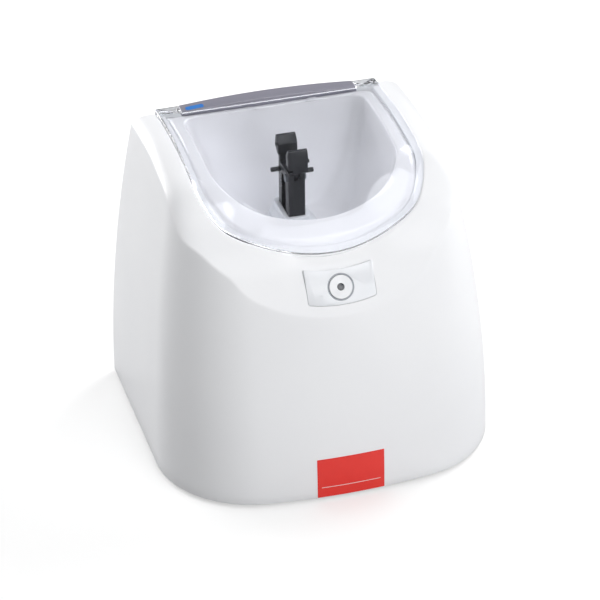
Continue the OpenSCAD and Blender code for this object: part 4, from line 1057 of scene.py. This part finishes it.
# %% Front jaw
jaw = side_prism([(JAW_FRONT, STEM_TOP + 1.3), (JAW_FRONT, FRONT_TOP - 4.2),
                  (JAW_FRONT - 3, FRONT_TOP), (JAW_FRONT - 4.9, FRONT_TOP),
                  (JAW_FRONT - 5.9, FRONT_TOP - 5), (JAW_FRONT - 5.5, STEM_TOP + 6),
                  (JAW_FRONT - 4.4, STEM_TOP + 1.3)], -JAW_HALF, JAW_HALF, 0.6, 3,
                 "fork_front_jaw")
cut(jaw, [front_prism([(-5.4, 160), (5.4, 160), (5.7, 165), (JAW_HALF, 169),
                       (JAW_HALF + 0.1, 174), (5.8, 181), (-5.8, 181), (-JAW_HALF - 0.1, 174),
                       (-JAW_HALF, 169), (-5.7, 165)], 10, 30)], "INTERSECT")
tongue = side_prism([(JAW_FRONT - 3.4, STEM_TOP + 3), (JAW_PIN[0] - 2.6, JAW_PIN[1]),
                     (JAW_PIN[0] - 1.8, JAW_PIN[1] - 2.4), (JAW_PIN[0] + 1.8, JAW_PIN[1] - 2.4),
                     (JAW_PIN[0] + 2.6, JAW_PIN[1]), (JAW_FRONT - 0.1, STEM_TOP + 3)],
                    -1.6, 1.6, 0.3, 2)
cut(jaw, [tongue, rod(1.5, JAW_HALF - 2.5, JAW_HALF + 4, JAW_FRONT - 2.6, STEM_TOP + 2.2, 0.5),
          rod(1.2, JAW_HALF - 1, JAW_HALF + 1.4, JAW_FRONT - 2.6, STEM_TOP + 8.5),
          rod(2.6, -JAW_HALF - 1.5, -3, JAW_FRONT - 2.6, STEM_TOP + 4.5, 0.5)], "UNION")
cut(jaw, [rod(1.55, -9, 9, *JAW_PIN, soft=0)])
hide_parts("front_jaw")
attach(jaw, "front_jaw")
print("front jaw:", len(jaw.data.polygons), "faces")

# %% [markdown]
# The button panel is a thin plate in its pocket, with a hairline of shadow round it. The
# ring and the cap are turned shapes: a cross-section spun about the button's own axis, then
# laid onto the slope with everything else.

# %% Panel, ring, cap and dot


def turned_on_slope(section, name, finish, steps=72):
    """Spins a cross-section of (radius, depth) about the button's axis, in mm."""
    bm = bmesh.new()
    verts = [bm.verts.new(Vector((r, 0, z)) * MM) for r, z in section]
    edges = [bm.edges.new((a, b)) for a, b in zip(verts, verts[1:])]
    bmesh.ops.spin(bm, geom=verts + edges, cent=(0, 0, 0), axis=(0, 0, 1), angle=2 * math.pi,
                   steps=steps, use_merge=True)
    bmesh.ops.remove_doubles(bm, verts=bm.verts, dist=1e-7)
    bmesh.ops.transform(bm, matrix=onto_slope, verts=bm.verts)
    return finish_mesh(bm, name, finish, 35)


def arc(cx, cz, r, start, end, steps=4):
    """Points of a circular arc in a cross-section, with angles in degrees."""
    return [(cx + r * math.cos(math.radians(mix(start, end, i / steps))),
             cz + r * math.sin(math.radians(mix(start, end, i / steps))))
            for i in range(steps + 1)]


RING_OUT, RING_IN, CAP_R = 8.15, 7.25, 7.1
panel = slope_prism(panel_outline(-0.06), -PANEL_T, -0.05, "button_plate", panel_film, 1.0, 0.25)
cut(panel, [slope_prism([((RING_OUT + 0.06) * math.cos(a), (RING_OUT + 0.06) * math.sin(a))
                         for a in [i * math.pi / 48 for i in range(96)]], -6, 4, corner=0)])
ring = turned_on_slope(arc(RING_OUT - 0.25, -0.4, 0.25, 0, 90)
                       + arc(RING_IN + 0.3, -0.4, 0.25, 90, 180)
                       + [(RING_IN + 0.02, -2.4), (RING_OUT, -2.4), (RING_OUT, -0.4)],
                       "button_bezel", ring_film)
dish = [(r, 0.3 - 0.4 * (1 - (r / 6.6) ** 2)) for r in (6.6, 5.6, 4.6, 3.6, 2.6)]
cap = turned_on_slope([(0, -7.1), (1.75, -7.1), (1.75, -4.3), (5.9, -4.3), (5.9, -2.95),
                       (CAP_R, -2.95), (CAP_R, -0.1)] + arc(6.8, 0.0, 0.3, 0, 90)
                      + dish + [(2.25, -0.05), (2.25, -1.2), (0, -1.2)],
                      "button_cap", button_film)
dot = turned_on_slope([(0, -1.2), (2.2, -1.2), (2.2, -0.4), (2.05, -0.24), (1.4, -0.16),
                       (0, -0.12)], "button_dot", lens_film)
for piece, node, body, slot in ((panel, "button_panel", "base", "panel_white"),
                                (cap, "start_button", "start_button", "button_white"),
                                (ring, "button_ring", "base", "ring_grey"),
                                (dot, "button_lens", "start_button", "lens_black")):
    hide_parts(node)
    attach(piece, body)
print("panel:", len(panel.data.polygons), "ring:", len(ring.data.polygons))

# %% [markdown]
# The red label is a film on the curved front, a hair proud of the moulding. It is a strip
# of the wall's own outline, so it bends with the wall, and one thin white line crosses it
# near its foot. The line is a second strip laid over it.

# %% Front label


def wall_patch(half, z0, z1, inset, name, finish, rise):
    """A thin strip of the front wall, half as wide as given, between two heights, in mm."""

    def at(x, z, off):
        side = lean(z, SIDE_CURVE) + off
        radius = FRONT_ARC - side
        front = -BODY_D / 2 + lean(z, FRONT_CURVE) + off
        return Vector((x, front + radius - math.sqrt(radius ** 2 - x * x), z))

    bm = bmesh.new()
    grid = bmesh.ops.create_grid(bm, x_segments=20, y_segments=rise, size=0.5)["verts"]
    for v in grid:
        v.co = at(mix(-half, half, v.co.x + 0.5), mix(z0, z1, v.co.y + 0.5), inset) * MM
    bmesh.ops.solidify(bm, geom=bm.faces[:], thickness=-0.12 * MM)
    return finish_mesh(bm, name, finish, 40)


label = wall_patch(21, 3, 29.5, 0.04, "front_label_film", label_film, 10)
stripe = wall_patch(18.4, 9.6, 9.85, 0.02, "front_label_stripe", line_film, 1)
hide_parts("front_label")
for piece in (label, stripe):
    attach(piece, "base")
print("label:", len(label.data.polygons), "faces")

# %% [markdown]
# Every other piece keeps its CAD mesh and gets the finish it has on a real machine. The
# slots of a CAD node are filled, and the node itself is neither moved nor changed.

# %% Finishes of the remaining pieces
finishes = {
    base_abs: ["base_plate"],
    foot_rubber: ["feet", "bowl_seal", "rubber_mounts"],
    zinc_screw: ["base_screws", "bowl_screws", "switch_screws", "motor_screws", "mount_screws",
                 "board_screws", "arm_screws", "trunnion_clips"],
    # The boot ring shares the bowl's plastic, and with it the bowl's painted glow.
    bowl_abs: ["boot_ring"],
    ground_pin: ["hinge_pins", "motor_shaft"],
    magnet_plate: ["lid_magnet", "lid_sensor"],
    black_pc: ["switch_plunger", "tact_switch", "fuse_drawer", "power_rocker", "switch_frame",
               "mains_inlet", "motor_end_cap"],
    board_mask: ["switch_board", "control_board"],
    can_steel: ["motor_body", "jaw_pin"],
    spring_wire: ["jaw_spring"],
    sheet_zinc: ["motor_bracket"],
    bronze: ["trunnion_bushes"],
    lamination: ["transformer_core"],
    coil_tape: ["transformer_coil"],
    sleeve_pvc: ["capacitors"],
    relay_pbt: ["relay"],
    sink_alloy: ["heat_sink"],
    nylon: ["board_standoffs"],
    pin_brass: ["inlet_pins"],
    cable_pvc: ["wiring_loom"],
    cast_alloy: ["arm_yoke"],
    race_steel: ["bearing_ring", "bearing_ball"],
    turned_steel: ["oblique_hub", "counterweight"],
    black_steel: ["grub_screws"],
    button_film: ["start_button"],
}
for finish, names in finishes.items():
    for name in names:
        for slot in nodes[name].material_slots:
            slot.material = finish
        if not nodes[name].material_slots:
            nodes[name].data.materials.append(finish)
print("CAD pieces dressed:", sum(map(len, finishes.values())), "of", len(nodes))

# %% [markdown]
# The photograph was taken in a white studio and cut out on pure white. The soft panels are
# placed by the shading of the housing: two before it on the right, one straight ahead and
# three behind. No panel stands to the front left, and that gap draws the darker band down
# the rounded corner, which is what shows the shape of a white object on a white ground. A
# low panel is raised until its lower edge is clear of the floor.

# %% Soft panels
PANEL_SIZE, PANEL_DISTANCE, LOWEST_PANEL = 1.0, 1.7, 0.52


def soft_panel(name, turn, height, power):
    """A square panel, its turn counted from the front towards the right, in degrees."""
    light = bpy.data.lights.new(name, "AREA")
    light.shape = "SQUARE"
    light.size = PANEL_SIZE
    light.energy = power
    a, e = math.radians(turn), math.radians(height)
    aim = Vector((0, 0, 0.1))
    place = aim + PANEL_DISTANCE * Vector((math.sin(a) * math.cos(e),
                                           -math.cos(a) * math.cos(e), math.sin(e)))
    place.z = max(place.z, LOWEST_PANEL)
    lamp = bpy.data.objects.new(name, light)
    lamp.location = place
    lamp.rotation_euler = (aim - place).to_track_quat("-Z", "Y").to_euler()
    bpy.context.scene.collection.objects.link(lamp)
    return lamp


soft_panel("panel_front", 0, 35, 8.4)
soft_panel("panel_front_right_high", 30, 60, 9.1)
soft_panel("panel_front_right_low", 30, 10, 8.2)
soft_panel("panel_rear_left_low", -150, 10, 21.7)
soft_panel("panel_rear_left", -120, 35, 8.4)
soft_panel("panel_rear_right", 120, 35, 22.0)
print("panels:", len(bpy.data.lights))

# %% [markdown]
# The floor is a plain pale board. A real one is darker beside the object than the cut-out
# shows, so the board gives the camera a little light of its own: the ground turns white and
# only the contact shadow is left, while the walls still get the board's true bounce.

# %% Floor
BOARD_GLOW = 0.47
board = blank("floor_pale_board")
board_ray = add(board, "ShaderNodeLightPath")
board_glow = add(board, "ShaderNodeMath", {0: board_ray.outputs["Is Camera Ray"],
                                             1: BOARD_GLOW}, operation="MULTIPLY")
surface(board, {"Base Color": colour("C8C8C8"), "Roughness": 0.9,
                "Emission Color": colour("FFFFFF"),
                "Emission Strength": board_glow.outputs["Value"]})
bm = bmesh.new()
bmesh.ops.create_grid(bm, x_segments=1, y_segments=1, size=3)
floor = finish_mesh(bm, "studio_floor", board)
print("floor:", round(floor.dimensions.x, 1), "m wide")

# %% [markdown]
# The panels alone light the machine. The white walls of the studio are seen only in what is
# glossy or clear: a little in a mirror image, somewhat more through the lid's rim, which
# would be black otherwise. The ray's own kind tells the two apart.

# %% Sky
MIRRORED_WALL, WALL_THROUGH_LID = 0.05, 0.12
sky = bpy.data.worlds.new("studio_sky")
sky.use_nodes = True
backdrop = sky.node_tree.nodes["Background"]
backdrop.inputs["Color"].default_value = colour("FFFFFF")
sky_ray = add(sky, "ShaderNodeLightPath")
mirrored = add(sky, "ShaderNodeMath", {0: sky_ray.outputs["Is Glossy Ray"],
                                       1: MIRRORED_WALL}, operation="MULTIPLY")
walls = add(sky, "ShaderNodeMath", {0: sky_ray.outputs["Is Transmission Ray"],
                                    1: WALL_THROUGH_LID, 2: mirrored.outputs["Value"]},
            operation="MULTIPLY_ADD")
sky.node_tree.links.new(walls.outputs["Value"], backdrop.inputs["Strength"])
bpy.context.scene.world = sky
bpy.context.scene.view_settings.view_transform = "Standard"
print("sky:", sky.name)
